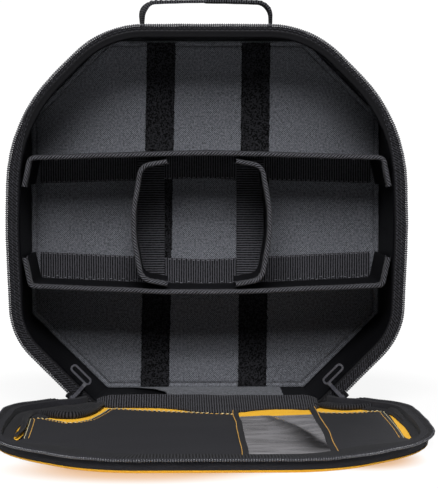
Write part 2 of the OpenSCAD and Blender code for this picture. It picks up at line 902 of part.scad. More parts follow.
back_cover();
back_board();
back_lining();
back_piping();
wall_gusset();
wall_lining();
loop_strip_left();
loop_strip_right();
shell_zip_tape();
shell_zip_coil();
shell_zip_stops();
handle_anchor_left();
handle_anchor_right();
handle_webbing();
hinge_binding();
slider_left();
slider_right();
pull_left();
pull_right();
upper_shelf();
upper_shelf_binding();
upper_shelf_tab();
upper_shelf_hooks();
lower_shelf();
lower_shelf_binding();
lower_shelf_tab();
lower_shelf_hooks();
left_divider();
left_divider_binding();
left_divider_tab();
left_divider_hooks();
right_divider();
right_divider_binding();
right_divider_tab();
right_divider_hooks();
lid_face();
lid_gusset();
lid_lining();
lid_seam_binding();
lid_zip_tape();
lid_zip_coil();
lid_zip_stops();
lid_pocket_left();
lid_pocket_right();
lid_window();
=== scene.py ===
"""Soft case for saw blades, standing open: cloth, webbing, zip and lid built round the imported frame."""

import json
import logging
import math
from collections.abc import Callable
from dataclasses import dataclass, field
from enum import Enum
from typing import Any

import bmesh
import bpy
import numpy as np
from mathutils import Euler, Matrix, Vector


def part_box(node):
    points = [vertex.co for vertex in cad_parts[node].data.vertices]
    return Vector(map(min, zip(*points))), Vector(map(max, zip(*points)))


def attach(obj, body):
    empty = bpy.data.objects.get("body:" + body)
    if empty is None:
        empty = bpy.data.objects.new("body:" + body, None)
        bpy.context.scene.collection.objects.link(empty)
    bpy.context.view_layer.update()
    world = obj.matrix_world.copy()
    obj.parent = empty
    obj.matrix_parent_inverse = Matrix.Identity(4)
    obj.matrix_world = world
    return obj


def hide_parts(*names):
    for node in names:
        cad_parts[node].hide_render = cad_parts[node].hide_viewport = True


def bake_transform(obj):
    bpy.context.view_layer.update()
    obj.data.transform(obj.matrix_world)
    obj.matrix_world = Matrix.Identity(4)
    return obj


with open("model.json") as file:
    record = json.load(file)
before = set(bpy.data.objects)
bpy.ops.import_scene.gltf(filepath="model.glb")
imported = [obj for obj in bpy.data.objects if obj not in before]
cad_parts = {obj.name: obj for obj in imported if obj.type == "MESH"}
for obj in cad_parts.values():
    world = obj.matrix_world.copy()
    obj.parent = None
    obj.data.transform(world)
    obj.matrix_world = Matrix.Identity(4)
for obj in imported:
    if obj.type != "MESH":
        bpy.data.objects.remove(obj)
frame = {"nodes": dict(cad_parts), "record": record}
log = logging.getLogger("blade_case")

Array = np.ndarray
Piece = bpy.types.Object
Tree = bpy.types.NodeTree
Place = Callable[[Array], Array]
Marks = list[tuple[float, float]]
Shift = tuple[Array | float, Array | float]
Spot = tuple[float, float, float]

MM = 0.001
UV_NAME = "Cloth"
# Name of the mesh mark that carries the painted shade along the film's crease.
CREASE_SHADE = "crease"
ROW_STEP = 5.0  # millimetres from one row of a swept piece to the next
CENTRE = np.array([0.0, 160.0])  # middle of the case, in x and z


# ---- Sizes and paths --------------------------------------------------------------------------


def clamp(value: Any) -> Any:
    """A number or array held between 0 and 1."""
    return np.clip(value, 0, 1)


def ease(share: Any) -> Any:
    """A share from 0 to 1 that leaves and arrives gently."""
    return share * share * (3 - 2 * share)


def bell(apart: Any) -> Any:
    """A round bump, 1 high at nothing and almost gone at 2."""
    return np.exp(-(apart**2))


def hump(share: Any) -> Any:
    """A round swell, 1 high half way and gone at 0 and 1."""
    return np.sin(math.pi * clamp(share))


def traced(at: Array, marks: Marks) -> Array:
    """The height at each place of the line through the marks."""
    return np.interp(at, *np.array(marks, float).T)


def ripple(a: Any, b: Any, size: float, seed: int) -> Array:
    """Slow, even unevenness of soft cloth, from about -1 to 1.

    Args:
        a: Places along the cloth in millimetres.
        b: Places across it.
        size: Rough distance from one swell to the next.
        seed: Picks the pattern.

    Returns:
        The height at each place.
    """
    rng = np.random.default_rng(seed)
    total = np.zeros(np.broadcast(a, b).shape)
    for _ in range(7):
        angle, phase = rng.uniform(0, 2 * math.pi, 2)
        wave = 2 * math.pi / (size * rng.uniform(0.6, 1.7))
        total += np.sin((a * math.cos(angle) + b * math.sin(angle)) * wave + phase)
    return total / 4.5


@dataclass(frozen=True)
class CaseSizes:
    """The case's own sizes in millimetres, as its solids have them."""

    depth: float = 90.0
    mouth_w: float = 318.0
    back_w: float = 308.0
    inner_h: float = 308.0
    wall: float = 6.0
    back_cut: float = 66.5
    low_cut: float = 64.0
    high_cut: float = 76.0
    waist: float = 144.0
    bow_low: float = 3.5
    bow_high: float = 2.0
    back_r: float = 4.0
    mouth_radii: tuple[float, ...] = (8.0, 50.0, 500.0, 125.0, 75.0)
    seam_gap: float = 0.6
    lid_depth: float = 13.0
    face_t: float = 3.5
    layer_gap: float = 0.1
    lining_t: float = 1.0
    tape_t: float = 1.2
    tape_reach: float = 2.7
    coil_r: float = 1.2

    @property
    def roof_z(self) -> float:
        """Height of the roof lining."""
        return self.wall + self.inner_h

    @property
    def hinge_y(self) -> float:
        """Depth of the line that the lid turns about."""
        return -self.seam_gap / 2

    @property
    def coil_at(self) -> float:
        """Offset of the coil's middle from the clear space's outline."""
        return self.wall + self.tape_reach + self.coil_r

    def from_mouth(self, points: Array) -> Array:
        """Turns millimetres with y = 0 at the mouth into metres in the row frame."""
        return (points - np.array([0.0, self.depth / 2, 0.0])) * MM

    def opened(self, points: Array) -> Array:
        """Lays what is drawn on the shut lid down flat, then does what from_mouth does."""
        x, y, z = points[..., 0], points[..., 1], points[..., 2]
        turned = [x, self.hinge_y - (z - self.lid_depth), self.lid_depth + y - self.hinge_y]
        return self.from_mouth(np.stack(turned, axis=-1))

    def box(self, node: str) -> list[Array]:
        """A node's lowest and highest corner in millimetres, with y = 0 at the mouth."""
        return [np.array(corner) / MM + np.array([0.0, self.depth / 2, 0.0]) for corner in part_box(node)]


@dataclass
class Path:
    """A run of points in x and z, with the outward normal at each."""

    points: Array
    normals: Array

    @property
    def along(self) -> Array:
        """Roughly how far along a run of even steps each point lies."""
        return np.arange(len(self.points)) * ROW_STEP

    def mirrored(self) -> "Path":
        """The same run on the other side of the case, in the opposite order."""
        flip = np.array([-1.0, 1.0])
        return Path((self.points * flip)[::-1], (self.normals * flip)[::-1])

    def at(self, offset: float | Array) -> Array:
        """The run's points moved out along their normals."""
        return self.points + self.normals * np.reshape(offset, (-1, 1))

    def dense(self, counts: Array) -> "Path":
        """Adds evenly spaced points between each point and the next.

        Args:
            counts: How many pieces each gap is cut into; as many gaps as points closes the run.

        Returns:
            The run with its points and normals filled in.
        """
        both = np.hstack([self.points, self.normals])
        rows = []
        for i, count in enumerate(counts):
            share = np.arange(count)[:, None] / count
            rows.append(both[i] * (1 - share) + both[(i + 1) % len(both)] * share)
        if len(counts) < len(both):
            rows.append(both[-1:])
        found = np.vstack(rows)
        return Path(found[:, :2], found[:, 2:] / np.linalg.norm(found[:, 2:], axis=1, keepdims=True))

    def counts(self, step: float, closed: bool = False) -> Array:
        """How many pieces of about one step each gap needs."""
        ends = np.vstack([self.points, self.points[:1]]) if closed else self.points
        gaps = np.linalg.norm(np.diff(ends, axis=0), axis=1)
        return np.maximum(1, np.ceil(gaps / step - 0.001)).astype(int)


def joined(paths: list[Path]) -> Path:
    """Runs one after another."""
    return Path(np.vstack([p.points for p in paths]), np.vstack([p.normals for p in paths]))


def square_to(points: Array, way: Array) -> Path:
    """A run through points, with normals square to the way it goes at each."""
    normals = np.stack([way[:, 1], -way[:, 0]], axis=1)
    return Path(points, normals / np.linalg.norm(normals, axis=1, keepdims=True))


def unit(v: Array) -> Array:
    """A vector of length one."""
    return v / np.linalg.norm(v)


def corner_arc(a: Array, b: Array, c: Array, radius: float, steps: int = 8) -> Path:
    """Rounds the corner at b, on a run that turns anticlockwise from a to c.

    Args:
        a: Where the run comes from.
        b: The corner.
        c: Where the run goes.
        radius: Radius of the round stretch.
        steps: Number of pieces in it.

    Returns:
        The round stretch alone.
    """
    u, v = unit(a - b), unit(c - b)
    half = math.acos(float(np.clip(u @ v, -1, 1))) / 2
    away = unit(c - a)
    inward = np.array([-away[1], away[0]]) if half > math.radians(89.9) else unit(u + v)
    centre = b + inward * radius / math.sin(half)
    start = b + u * radius / math.tan(half) - centre
    first = math.atan2(start[1], start[0])
    angles = first + (math.pi - 2 * half) * np.arange(steps + 1) / steps
    normals = np.stack([np.cos(angles), np.sin(angles)], axis=1)
    return Path(centre + radius * normals, normals)


def bent_path(points: Marks, radii: list[float], steps: int = 8) -> Path:
    """An open run through the points, rounded at each inner one."""
    p = np.array(points, float)
    arcs = [corner_arc(*p[i : i + 3], radius, steps) for i, radius in enumerate(radii)]
    return joined([square_to(p[:1], p[1:2] - p[:1]), *arcs, square_to(p[-1:], p[-1:] - p[-2:-1])])


def rounded_profile(low: Any, high: Any, radius: float, step: float) -> Array:
    """A box profile from its low to its high corner, with round edges, as a closed run of points."""
    (x0, y0), (x1, y1) = low, high
    ends = np.array([(x0, y0), (x1, y0), (x1, y1), (x0, y1)])
    path = joined([corner_arc(ends[i - 1], ends[i], ends[(i + 1) % 4], radius, 3) for i in range(4)])
    return path.dense(path.counts(step, True)).points


@dataclass
class Outline:
    """The octagonal outline of the clear space, from the mouth to the back."""

    sizes: CaseSizes

    def corners(self, y: float) -> list[Array]:
        """The right-hand corners at depth y: foot, lower side, waist, upper side, roof."""
        s, t = self.sizes, clamp(y / self.sizes.depth)
        half_w = s.mouth_w / 2 + (s.back_w - s.mouth_w) / 2 * t
        low = s.low_cut + (s.back_cut - s.low_cut) * t
        high = s.high_cut + (s.back_cut - s.high_cut) * t
        in_low, in_high = s.bow_low * (1 - t), s.bow_high * (1 - t)
        return [
            np.array([half_w - low, s.wall]),
            np.array([half_w - in_low, s.wall + low - in_low]),
            np.array([half_w, s.wall + s.waist]),
            np.array([half_w - in_high, s.roof_z - high + in_high]),
            np.array([half_w - high, s.roof_z]),
        ]

    def side(self, y: float, first: int) -> Path:
        """Round stretches of the right-hand side at depth y, from the given corner up."""
        s, t = self.sizes, clamp(y / self.sizes.depth)
        ends = [np.array([0.0, s.wall]), *self.corners(y), np.array([0.0, s.roof_z])]
        radii = [r * (1 - t) + s.back_r * t for r in s.mouth_radii]
        return joined([corner_arc(*ends[i : i + 3], radii[i]) for i in range(first, len(radii))])

    def coarse(self, y: float) -> Path:
        """The whole closed outline at depth y, without the points between its corners."""
        right = self.side(y, 0)
        return joined([right, right.mirrored()])

    def ring(self, y: float) -> Path:
        """The whole closed outline at depth y."""
        return self.coarse(y).dense(self.coarse(self.sizes.depth / 2).counts(ROW_STEP, True))

    def rim(self, z: float) -> Path:
        """The mouth's outline without its floor, from height z on one diagonal to the other."""
        s = self.sizes
        foot = np.array([[z + s.mouth_w / 2 - s.low_cut - s.wall, z]])
        slant = np.array([[math.sqrt(0.5), -math.sqrt(0.5)]])
        right = joined([Path(foot, slant), self.side(0.0, 1)])
        path = joined([right, right.mirrored()])
        return path.dense(path.counts(ROW_STEP))


# ---- Meshes -----------------------------------------------------------------------------------


def add_object(name: str, data: bpy.types.ID) -> Piece:
    """Puts a mesh, lamp or camera into the scene at the origin."""
    piece = bpy.data.objects.new(name, data)
    bpy.context.scene.collection.objects.link(piece)
    return piece


def shaped(name: str, points: Array, faces: list[list[int]], uv: Array, sharp_deg: float) -> Piece:
    """Makes a piece whose faces point outwards and are smooth, but for its sharp folds.

    Args:
        name: The piece's name.
        points: Its points in metres.
        faces: Its faces, as numbers of points.
        uv: The map at each face's corners.
        sharp_deg: Folds sharper than this stay sharp.

    Returns:
        The piece.
    """
    mesh = bpy.data.meshes.new(name)
    mesh.from_pydata(points.tolist(), [], faces)
    mesh.uv_layers.new(name=UV_NAME).data.foreach_set("uv", uv.ravel())
    shape = bmesh.new()
    shape.from_mesh(mesh)
    bmesh.ops.recalc_face_normals(shape, faces=shape.faces)
    shape.to_mesh(mesh)
    shape.free()
    mesh.polygons.foreach_set("use_smooth", [True] * len(mesh.polygons))
    mesh.set_sharp_from_angle(angle=math.radians(sharp_deg))
    mesh.update()
    return add_object(name, mesh)


def surface(name: str, grid: Array, place: Place, ring: bool = False, sharp_deg: float = 60.0) -> Piece:
    """Makes a piece from rows of points, with a map of its own length and width in metres.

    Args:
        name: The piece's name.
        grid: Points in millimetres, as rows along the piece of columns round its section.
        place: Turns them into metres in the row frame.
        ring: Joins the last row to the first; otherwise both ends are closed.
        sharp_deg: Folds sharper than this stay sharp.

    Returns:
        The piece.
    """
    rows, columns = grid.shape[:2]
    r = np.arange(rows if ring else rows - 1)[:, None]
    c = np.arange(columns)[None, :]
    r2, c2 = (r + 1) % rows, (c + 1) % columns
    quads = np.stack([r * columns + c, r2 * columns + c, r2 * columns + c2, r * columns + c2], -1)
    faces = quads.reshape(-1, 4).tolist()

    def lengths(axis: int, closed: bool) -> Array:
        """Distance along one way of the grid, in metres, with one more value where it closes."""
        whole = np.concatenate([grid, np.take(grid, [0], axis)], axis) if closed else grid
        steps = np.linalg.norm(np.diff(whole, axis=axis), axis=2).mean(axis=1 - axis)
        return np.concatenate([[0.0], np.cumsum(steps)]) * MM

    u, v = lengths(0, ring), lengths(1, True)
    corners = (u[r], v[c], u[r + 1], v[c], u[r + 1], v[c + 1], u[r], v[c + 1])
    uv = np.stack(np.broadcast_arrays(*corners), -1).reshape(-1, 2)
    if not ring:
        faces += [list(range(columns - 1, -1, -1)), [(rows - 1) * columns + i for i in range(columns)]]
        uv = np.vstack([uv, np.stack([np.zeros(2 * columns), np.tile(v[:columns], 2)], 1)])
    return shaped(name, place(grid.reshape(-1, 3)), faces, uv, sharp_deg)


def disc(name: str, rings: list[Array], place: Place) -> Piece:
    """Makes a closed plate from rings of points, from the middle of one face to that of the other.

    Args:
        name: The piece's name.
        rings: Closed rings of as many points each, in millimetres.
        place: Turns them into metres in the row frame.

    Returns:
        The piece, whose map is its own x and z in metres.
    """
    grid = np.stack(rings)
    count, size = grid.shape[:2]
    points = np.vstack([grid.reshape(-1, 3), grid[0].mean(axis=0), grid[-1].mean(axis=0)])
    i = np.arange(size)
    j = (i + 1) % size
    faces = []
    for near in range(0, (count - 1) * size, size):
        far = near + size
        faces += np.stack([near + i, far + i, far + j, near + j], 1).tolist()
    for ring, pole in ((0, count * size), ((count - 1) * size, count * size + 1)):
        faces += np.stack([ring + i, ring + j, np.full(size, pole)], 1).tolist()
    flat = points[:, [0, 2]] * MM
    return shaped(name, place(points), faces, flat[np.concatenate(faces)], 60.0)


def rows_of(points: Array, y: float | Array) -> Array:
    """Points in x and z set at a depth."""
    return np.stack([points[:, 0], np.broadcast_to(y, len(points)), points[:, 1]], axis=1)


def cut_at(x: float, section: Array) -> Array:
    """Points in y and z set at a distance x from the middle."""
    return np.column_stack([np.full(len(section), x), section])


def swept(outline: Callable[[float], Path], profile: Any, shift: Callable[..., Shift] | None = None) -> Array:
    """Carries a profile along a path.

    Args:
        outline: The path at a given depth.
        profile: Offsets and depths of the profile's points.
        shift: Gives extra offset and depth from the path, the offset and the depth.

    Returns:
        Rows of points along the path, with the profile's points as columns.
    """
    columns = []
    for offset, y in profile:
        path = outline(y)
        out, back = shift(path, offset, y) if shift else (0.0, 0.0)
        columns.append(rows_of(path.at(offset + out), y + back))
    return np.stack(columns, axis=1)


# ---- Finishes ---------------------------------------------------------------------------------


def tint(code: str) -> tuple[float, float, float, float]:
    """Turns an sRGB hex value into a linear colour."""
    parts = [int(code[i : i + 2], 16) / 255 for i in (1, 3, 5)]
    linear = [c / 12.92 if c <= 0.04045 else ((c + 0.055) / 1.055) ** 2.4 for c in parts]
    return (*linear, 1.0)


def add(tree: Tree, kind: str, inputs: dict[str | int, Any] | None = None, **settings: Any) -> Any:
    """Adds a node with its settings and links.

    Args:
        tree: The tree it goes into.
        kind: Its type's name.
        inputs: A value or another node's output for each named or numbered input.
        settings: The node's own properties.

    Returns:
        The node.
    """
    node = tree.nodes.new(kind)
    for key, value in settings.items():
        setattr(node, key, value)
    for key, value in (inputs or {}).items():
        if isinstance(value, bpy.types.NodeSocket):
            tree.links.new(value, node.inputs[key])
        else:
            node.inputs[key].default_value = value
    return node


def blank(owner: bpy.types.Material | bpy.types.World) -> Tree:
    """The emptied node tree of a material or world."""
    owner.use_nodes = True
    owner.node_tree.nodes.clear()
    return owner.node_tree


def maths(tree: Tree, operation: str, *values: Any, **settings: Any) -> Any:
    """Adds a step of arithmetic on numbers, and returns its output."""
    return add(tree, "ShaderNodeMath", dict(enumerate(values)), operation=operation, **settings).outputs[0]


def vectors(tree: Tree, operation: str, first: Any, other: Any = None) -> Any:
    """Adds a step of arithmetic on vectors, and returns its output."""
    inputs = {0: first} if other is None else {0: first, "Scale" if operation == "SCALE" else 1: other}
    node = add(tree, "ShaderNodeVectorMath", inputs, operation=operation)
    return node.outputs["Value" if operation == "LENGTH" else 0]


def vary(tree: Tree, grain: Any, middle: float, spread: float, **settings: Any) -> Any:
    """Turns a grain from 0 to 1 into values spread evenly about a middle."""
    return maths(tree, "MULTIPLY_ADD", grain, 2 * spread, middle - spread, **settings)


def mix(tree: Tree, share: Any, first: Any, second: Any) -> Any:
    """Mixes two colours, and returns the output."""
    return add(tree, "ShaderNodeMix", {0: share, 6: first, 7: second}, data_type="RGBA").outputs[2]


def coat(tree: Tree, height: Any, relief: float, strength: float, look: dict[str | int, Any]) -> None:
    """Ends a material's tree: a principled shader with a bump, joined to the output.

    Args:
        tree: The tree.
        height: The bump's height from 0 to 1.
        relief: Millimetres that a height of 1 stands for.
        strength: How strongly the light follows it.
        look: The shader's other inputs.
    """
    bump = add(tree, "ShaderNodeBump", {"Height": height, "Distance": relief * MM, "Strength": strength})
    shader = add(tree, "ShaderNodeBsdfPrincipled", {**look, "Normal": bump.outputs[0]})
    add(tree, "ShaderNodeOutputMaterial", {"Surface": shader.outputs[0]})


class Weave(Enum):
    """How a cloth's surface is made."""

    PLAIN = "threads over and under each other"
    RIB = "ribs across the length"
    TWILL = "slanting ribs"
    SMOOTH = "a fine knit too small to see, with soft flecks"
    SOLID = "no thread map: flecks alone"


@dataclass(frozen=True)
class Cloth:
    """A textile: dyed polyester or nylon yarn, woven and heat-set, so it is matt with a faint sheen.

    The eye gets darker gaps between lit threads, painted into the colour as shade in the gaps and light on the
    threads' tops, with flecks from one yarn to the next and slow drifts of tone.
    """

    name: str
    # colour is the painted shade in the gaps between threads and thread is the painted light on their tops; in the
    # smooth and solid kinds they only set the yarn's own flecks.
    colour: str
    thread: str
    weave: Weave
    pitch: float
    relief: float
    roughness: float = 0.85
    sheen: float = 0.04
    specular: float = 0.15
    fleck: float = 0.5
    drift: float = 0.2
    crisp: float = 1.0

    def threads(self, tree: Tree) -> Any:
        """The threads' height, from 0 to 1, as a node's output."""
        place = add(tree, "ShaderNodeUVMap", uv_map=UV_NAME).outputs[0]
        scaled = vectors(tree, "SCALE", place, 2 * math.pi / (self.pitch * MM))
        noise = add(tree, "ShaderNodeTexNoise", {"Vector": place, "Scale": 1 / (3 * self.pitch * MM)})
        bend = vectors(tree, "SCALE", noise.outputs["Color"], 1.6)
        parts = add(tree, "ShaderNodeSeparateXYZ", {0: vectors(tree, "ADD", scaled, bend)})
        along, across = parts.outputs[0], parts.outputs[1]
        if self.weave is Weave.TWILL:
            along = maths(tree, "ADD", along, across)
        value = maths(tree, "SINE", along)
        if self.weave is Weave.PLAIN:
            value = maths(tree, "MULTIPLY", value, maths(tree, "SINE", across))
        return maths(tree, "MULTIPLY_ADD", value, 0.5, 0.5)

    def build(self) -> bpy.types.Material:
        """Makes the material."""
        material = bpy.data.materials.new(self.name)
        tree = blank(material)
        body = add(tree, "ShaderNodeTexCoord").outputs["Object"]
        fine = {"Vector": body, "Scale": 1 / (self.pitch * MM), "Detail": 2.0, "Roughness": 0.7}
        yarn = add(tree, "ShaderNodeTexNoise", fine).outputs[0]
        drift = add(tree, "ShaderNodeTexNoise", {"Vector": body, "Scale": 22.0, "Detail": 3.0}).outputs[0]
        height = yarn if self.weave in (Weave.SMOOTH, Weave.SOLID) else self.threads(tree)
        shade = maths(tree, "ADD", vary(tree, yarn, 0.0, self.fleck), height)
        edge = 0.5 / self.crisp
        shade = add(tree, "ShaderNodeMapRange", {0: shade, 1: 0.5 - edge, 2: 0.5 + edge}).outputs[0]
        # Painted light and shade for the woven kinds: the thread colour where the weave stands high and the darker
        # colour in its gaps, with the yarn's own flecks.
        mixed = mix(tree, shade, tint(self.colour), tint(self.thread))
        look = {
            "Base Color": vectors(tree, "SCALE", mixed, vary(tree, drift, 1.0, self.drift)),
            "Roughness": self.roughness,
            "Sheen Weight": self.sheen,
            "Sheen Roughness": 0.5,
            "Specular IOR Level": self.specular,
        }
        coat(tree, height, self.relief, 0.8, look)
        return material


@dataclass(frozen=True)
class Moulded:
    """Moulded nylon, enamelled metal or clear vinyl: even, with fine scuffs that break up its gloss."""

    name: str
    colour: str
    roughness: float
    scuff: float = 0.15
    specular: float = 0.5
    alpha: float = 1.0
    tone: float = 0.25
    grain: float = 1.5
    relief: float = 0.05
    stretch: Spot = (1.0, 1.0, 1.0)
    crease_shade_painted: bool = False

    def build(self) -> bpy.types.Material:
        """Makes the material."""
        material = bpy.data.materials.new(self.name)
        tree = blank(material)
        place = add(tree, "ShaderNodeTexCoord").outputs["Object"]
        place = add(tree, "ShaderNodeMapping", {"Vector": place, "Scale": self.stretch}).outputs[0]
        fine = {"Vector": place, "Scale": 1 / (self.grain * MM), "Detail": 3.0}
        grain = add(tree, "ShaderNodeTexNoise", fine).outputs[0]
        lit = vary(tree, grain, 1.0, self.tone)
        # Painted shade: the film is darkened along its crease by the mark stored on its mesh.
        if self.crease_shade_painted:
            fold = add(tree, "ShaderNodeAttribute", attribute_name=CREASE_SHADE).outputs["Fac"]
            lit = maths(tree, "MULTIPLY", lit, maths(tree, "MULTIPLY_ADD", fold, -0.88, 1.0))
        look = {
            "Base Color": vectors(tree, "SCALE", tint(self.colour)[:3], lit),
            "Roughness": vary(tree, grain, self.roughness, self.scuff, use_clamp=True),
            "Specular IOR Level": self.specular,
            "Alpha": self.alpha,
        }
        coat(tree, grain, self.relief, 0.6, look)
        return material


# Every finish by the record's slot, then the tapes and threads that have none. Threads 0.4 to 0.8 mm
# apart are drawn 1.4 to 2.8 mm apart, because a pixel of the photograph covers about 0.9 mm.
FINISHES = (
    # Woven covers and linings: a grid of small threads with painted light on their tops, strongest on the flecked
    # grey back.
    Cloth("outer_cloth", "#101013", "#303035", Weave.PLAIN, 1.6, 0.2, drift=0.12),
    Cloth("yellow_cloth", "#e59a0c", "#ffc736", Weave.PLAIN, 1.4, 0.1, roughness=0.6, drift=0.06),
    Cloth("yellow_lining", "#f0a414", "#ffd044", Weave.PLAIN, 1.4, 0.1, roughness=0.6, drift=0.06),
    Cloth("grey_lining", "#212225", "#73757c", Weave.PLAIN, 1.7, 0.25, fleck=0.9, drift=0.12),
    # Smooth cloths: nearly even, so their folds and their broad soft shine show.
    Cloth(
        "black_lining", "#040406", "#0b0b0e", Weave.SMOOTH, 1.2, 0.08, roughness=0.55, sheen=0.0, specular=0.1
    ),
    Cloth("pocket_cloth", "#1d1d20", "#2c2c31", Weave.SMOOTH, 1.5, 0.05, roughness=0.65, drift=0.06),
    # Webbing, tapes and piping: crisp ribs or slanting ribs with painted highlights on them and painted black
    # shade between them.
    Cloth("webbing", "#020203", "#3e3e43", Weave.RIB, 2.1, 0.35, fleck=0.6, drift=0.1, crisp=3.5),
    Cloth("seam_tape", "#030304", "#2e2e32", Weave.RIB, 2.3, 0.3, fleck=0.6, drift=0.15, crisp=3.5),
    Cloth("binding", "#010102", "#4c4c51", Weave.TWILL, 2.8, 0.3, fleck=0.6, drift=0.1, crisp=4.5),
    Cloth("zip_tape", "#020203", "#242428", Weave.TWILL, 2.5, 0.3, fleck=1.0, drift=0.2, crisp=3.0),
    Cloth("piping", "#0e0e10", "#26262a", Weave.TWILL, 1.5, 0.2),
    # Pile, hooks and board: no threads, only rough black with specks.
    Cloth(
        "loop_pile", "#040405", "#242427", Weave.SOLID, 1.4, 0.5,
        roughness=1.0, specular=0.05, fleck=1.0, crisp=3.0,
    ),
    Cloth("hook_tape", "#0a0a0b", "#202023", Weave.SOLID, 1.2, 0.3, roughness=0.5),
    Cloth("board", "#0c0c0d", "#161618", Weave.SOLID, 2.0, 0.05, roughness=0.5, sheen=0.0),
    # Sewing threads: a little shinier than the cloth they cross.
    Cloth("black_thread", "#101012", "#3a3a40", Weave.SOLID, 0.8, 0.05, roughness=0.6),
    Cloth("grey_thread", "#2c2c30", "#707076", Weave.SOLID, 0.8, 0.05, roughness=0.6),
    Cloth("yellow_thread", "#a8782c", "#e0b464", Weave.SOLID, 0.8, 0.05, roughness=0.5),
    Cloth("pale_thread", "#8d8468", "#d8cfa8", Weave.SOLID, 0.8, 0.05, roughness=0.5),
    # Nylon teeth, enamelled sliders and cord pulls: small sharp highlights.
    Moulded("zip_coil", "#38383d", 0.26, specular=0.8),
    Moulded("zip_metal", "#101012", 0.28),
    Moulded("pull_cord", "#404046", 0.2, specular=0.8),
    # Clear vinyl over yellow looks grey and cloudy, with painted shade along its one crease.
    Moulded(
        "clear_vinyl", "#989699", 0.12,
        tone=0.45, alpha=0.94, grain=30.0, relief=1.2, stretch=(1.0, 2.2, 1.0), crease_shade_painted=True,
    ),
)


# ---- What repeats -----------------------------------------------------------------------------


@dataclass
class Repeat:
    """A Geometry Nodes tree that sets one small form many times on a mesh, with named inputs."""

    name: str
    inputs: dict[str, str]
    tree: Tree | None = None
    sockets: dict[str, str] = field(default_factory=dict)

    def __post_init__(self) -> None:
        """Makes the tree: its inputs, the forms, their finish and its output."""
        self.tree = bpy.data.node_groups.new(self.name, "GeometryNodeTree")
        face = self.tree.interface
        face.new_socket("Geometry", in_out="OUTPUT", socket_type="NodeSocketGeometry")
        for name, kind in {"Geometry": "Geometry", **self.inputs, "Finish": "Material"}.items():
            made = face.new_socket(name, in_out="INPUT", socket_type=f"NodeSocket{kind}")
            self.sockets[name] = made.identifier
        given = self.add("NodeGroupInput").outputs
        done = self.add("GeometryNodeSetMaterial", {"Geometry": self.forms(given), "Material": given["Finish"]})
        self.add("NodeGroupOutput", {"Geometry": done.outputs[0]})

    def add(self, kind: str, inputs: dict[str | int, Any] | None = None, **settings: Any) -> Any:
        """Adds a node to this tree."""
        return add(self.tree, kind, inputs, **settings)

    def scatter(self, points: Any, sides: tuple[int, int], turn: Any, size: Any) -> Any:
        """Sets a ball of the given segments and rings on each point, and makes them one mesh."""
        ball = {"Segments": sides[0], "Rings": sides[1], "Radius": 0.5}
        form = self.add("GeometryNodeMeshUVSphere", ball).outputs[0]
        each = {"Points": points, "Instance": form, "Rotation": turn, "Scale": size}
        many = self.add("GeometryNodeInstanceOnPoints", each).outputs[0]
        return self.add("GeometryNodeRealizeInstances", {0: many}).outputs[0]

    def on(self, name: str, piece: Piece, **values: Any) -> Piece:
        """Runs the tree on a piece and keeps the result as its plain mesh.

        Args:
            name: The piece's new name.
            piece: What the forms are set on.
            values: A value for each named input.

        Returns:
            The piece.
        """
        nodes = piece.modifiers.new("repeat", "NODES")
        nodes.node_group = self.tree
        for key, value in values.items():
            nodes[self.sockets[key]] = value
        graph = bpy.context.evaluated_depsgraph_get()
        made = bpy.data.meshes.new_from_object(piece.evaluated_get(graph), depsgraph=graph)
        piece.modifiers.clear()
        piece.data = made
        piece.name = made.name = name
        return piece


class Beads(Repeat):
    """Small rounded beads along a line: stitches and coil teeth."""

    def forms(self, given: Any) -> Any:
        """Sets beads along the line, each turned the way it goes there."""
        line = self.add("GeometryNodeMeshToCurve", {0: given["Geometry"]}).outputs[0]
        steps = {"Curve": line, "Length": given["Spacing"]}
        spaced = self.add("GeometryNodeResampleCurve", steps, mode="LENGTH").outputs[0]
        way = self.add("GeometryNodeInputTangent").outputs[0]
        turn = self.add("FunctionNodeAlignRotationToVector", {"Vector": way}, axis="Z").outputs[0]
        sides = {0: given["Width"], 1: given["Width"], 2: given["Length"]}
        size = self.add("ShaderNodeCombineXYZ", sides).outputs[0]
        beads = self.scatter(spaced, (8, 5), turn, size)
        return self.add("GeometryNodeSetShadeSmooth", {0: beads}).outputs[0]


class Pile(Repeat):
    """The loops of a hook-and-loop strip, scattered over its face."""

    def forms(self, given: Any) -> Any:
        """Scatters flattened balls of uneven size and turn over the strip, and keeps the strip."""

        def chance(low: Spot, high: Spot) -> Any:
            """A random vector for each loop."""
            between = {0: low, 1: high, "Seed": given["Seed"]}
            return self.add("FunctionNodeRandomValue", between, data_type="FLOAT_VECTOR").outputs[0]

        where = {"Mesh": given["Geometry"], "Density": given["Density"], "Seed": given["Seed"]}
        points = self.add("GeometryNodeDistributePointsOnFaces", where, distribute_method="RANDOM").outputs[0]
        turn = chance((0.0, 0.0, 0.0), (6.28, 6.28, 6.28))
        size = vectors(self.tree, "SCALE", chance((0.4, 0.4, 0.9), (0.9, 0.7, 2.4)), given["Size"])
        both = self.add("GeometryNodeJoinGeometry")
        for part in (self.scatter(points, (6, 4), turn, size), given["Geometry"]):
            self.tree.links.new(part, both.inputs[0])
        return both.outputs[0]


@dataclass(frozen=True)
class BeadSize:
    """Millimetres from one bead to the next, and a bead's length and width."""

    spacing: float
    length: float
    width: float


STITCH = BeadSize(4.2, 2.7, 0.8)
TOOTH = BeadSize(1.8, 1.9, 2.4)


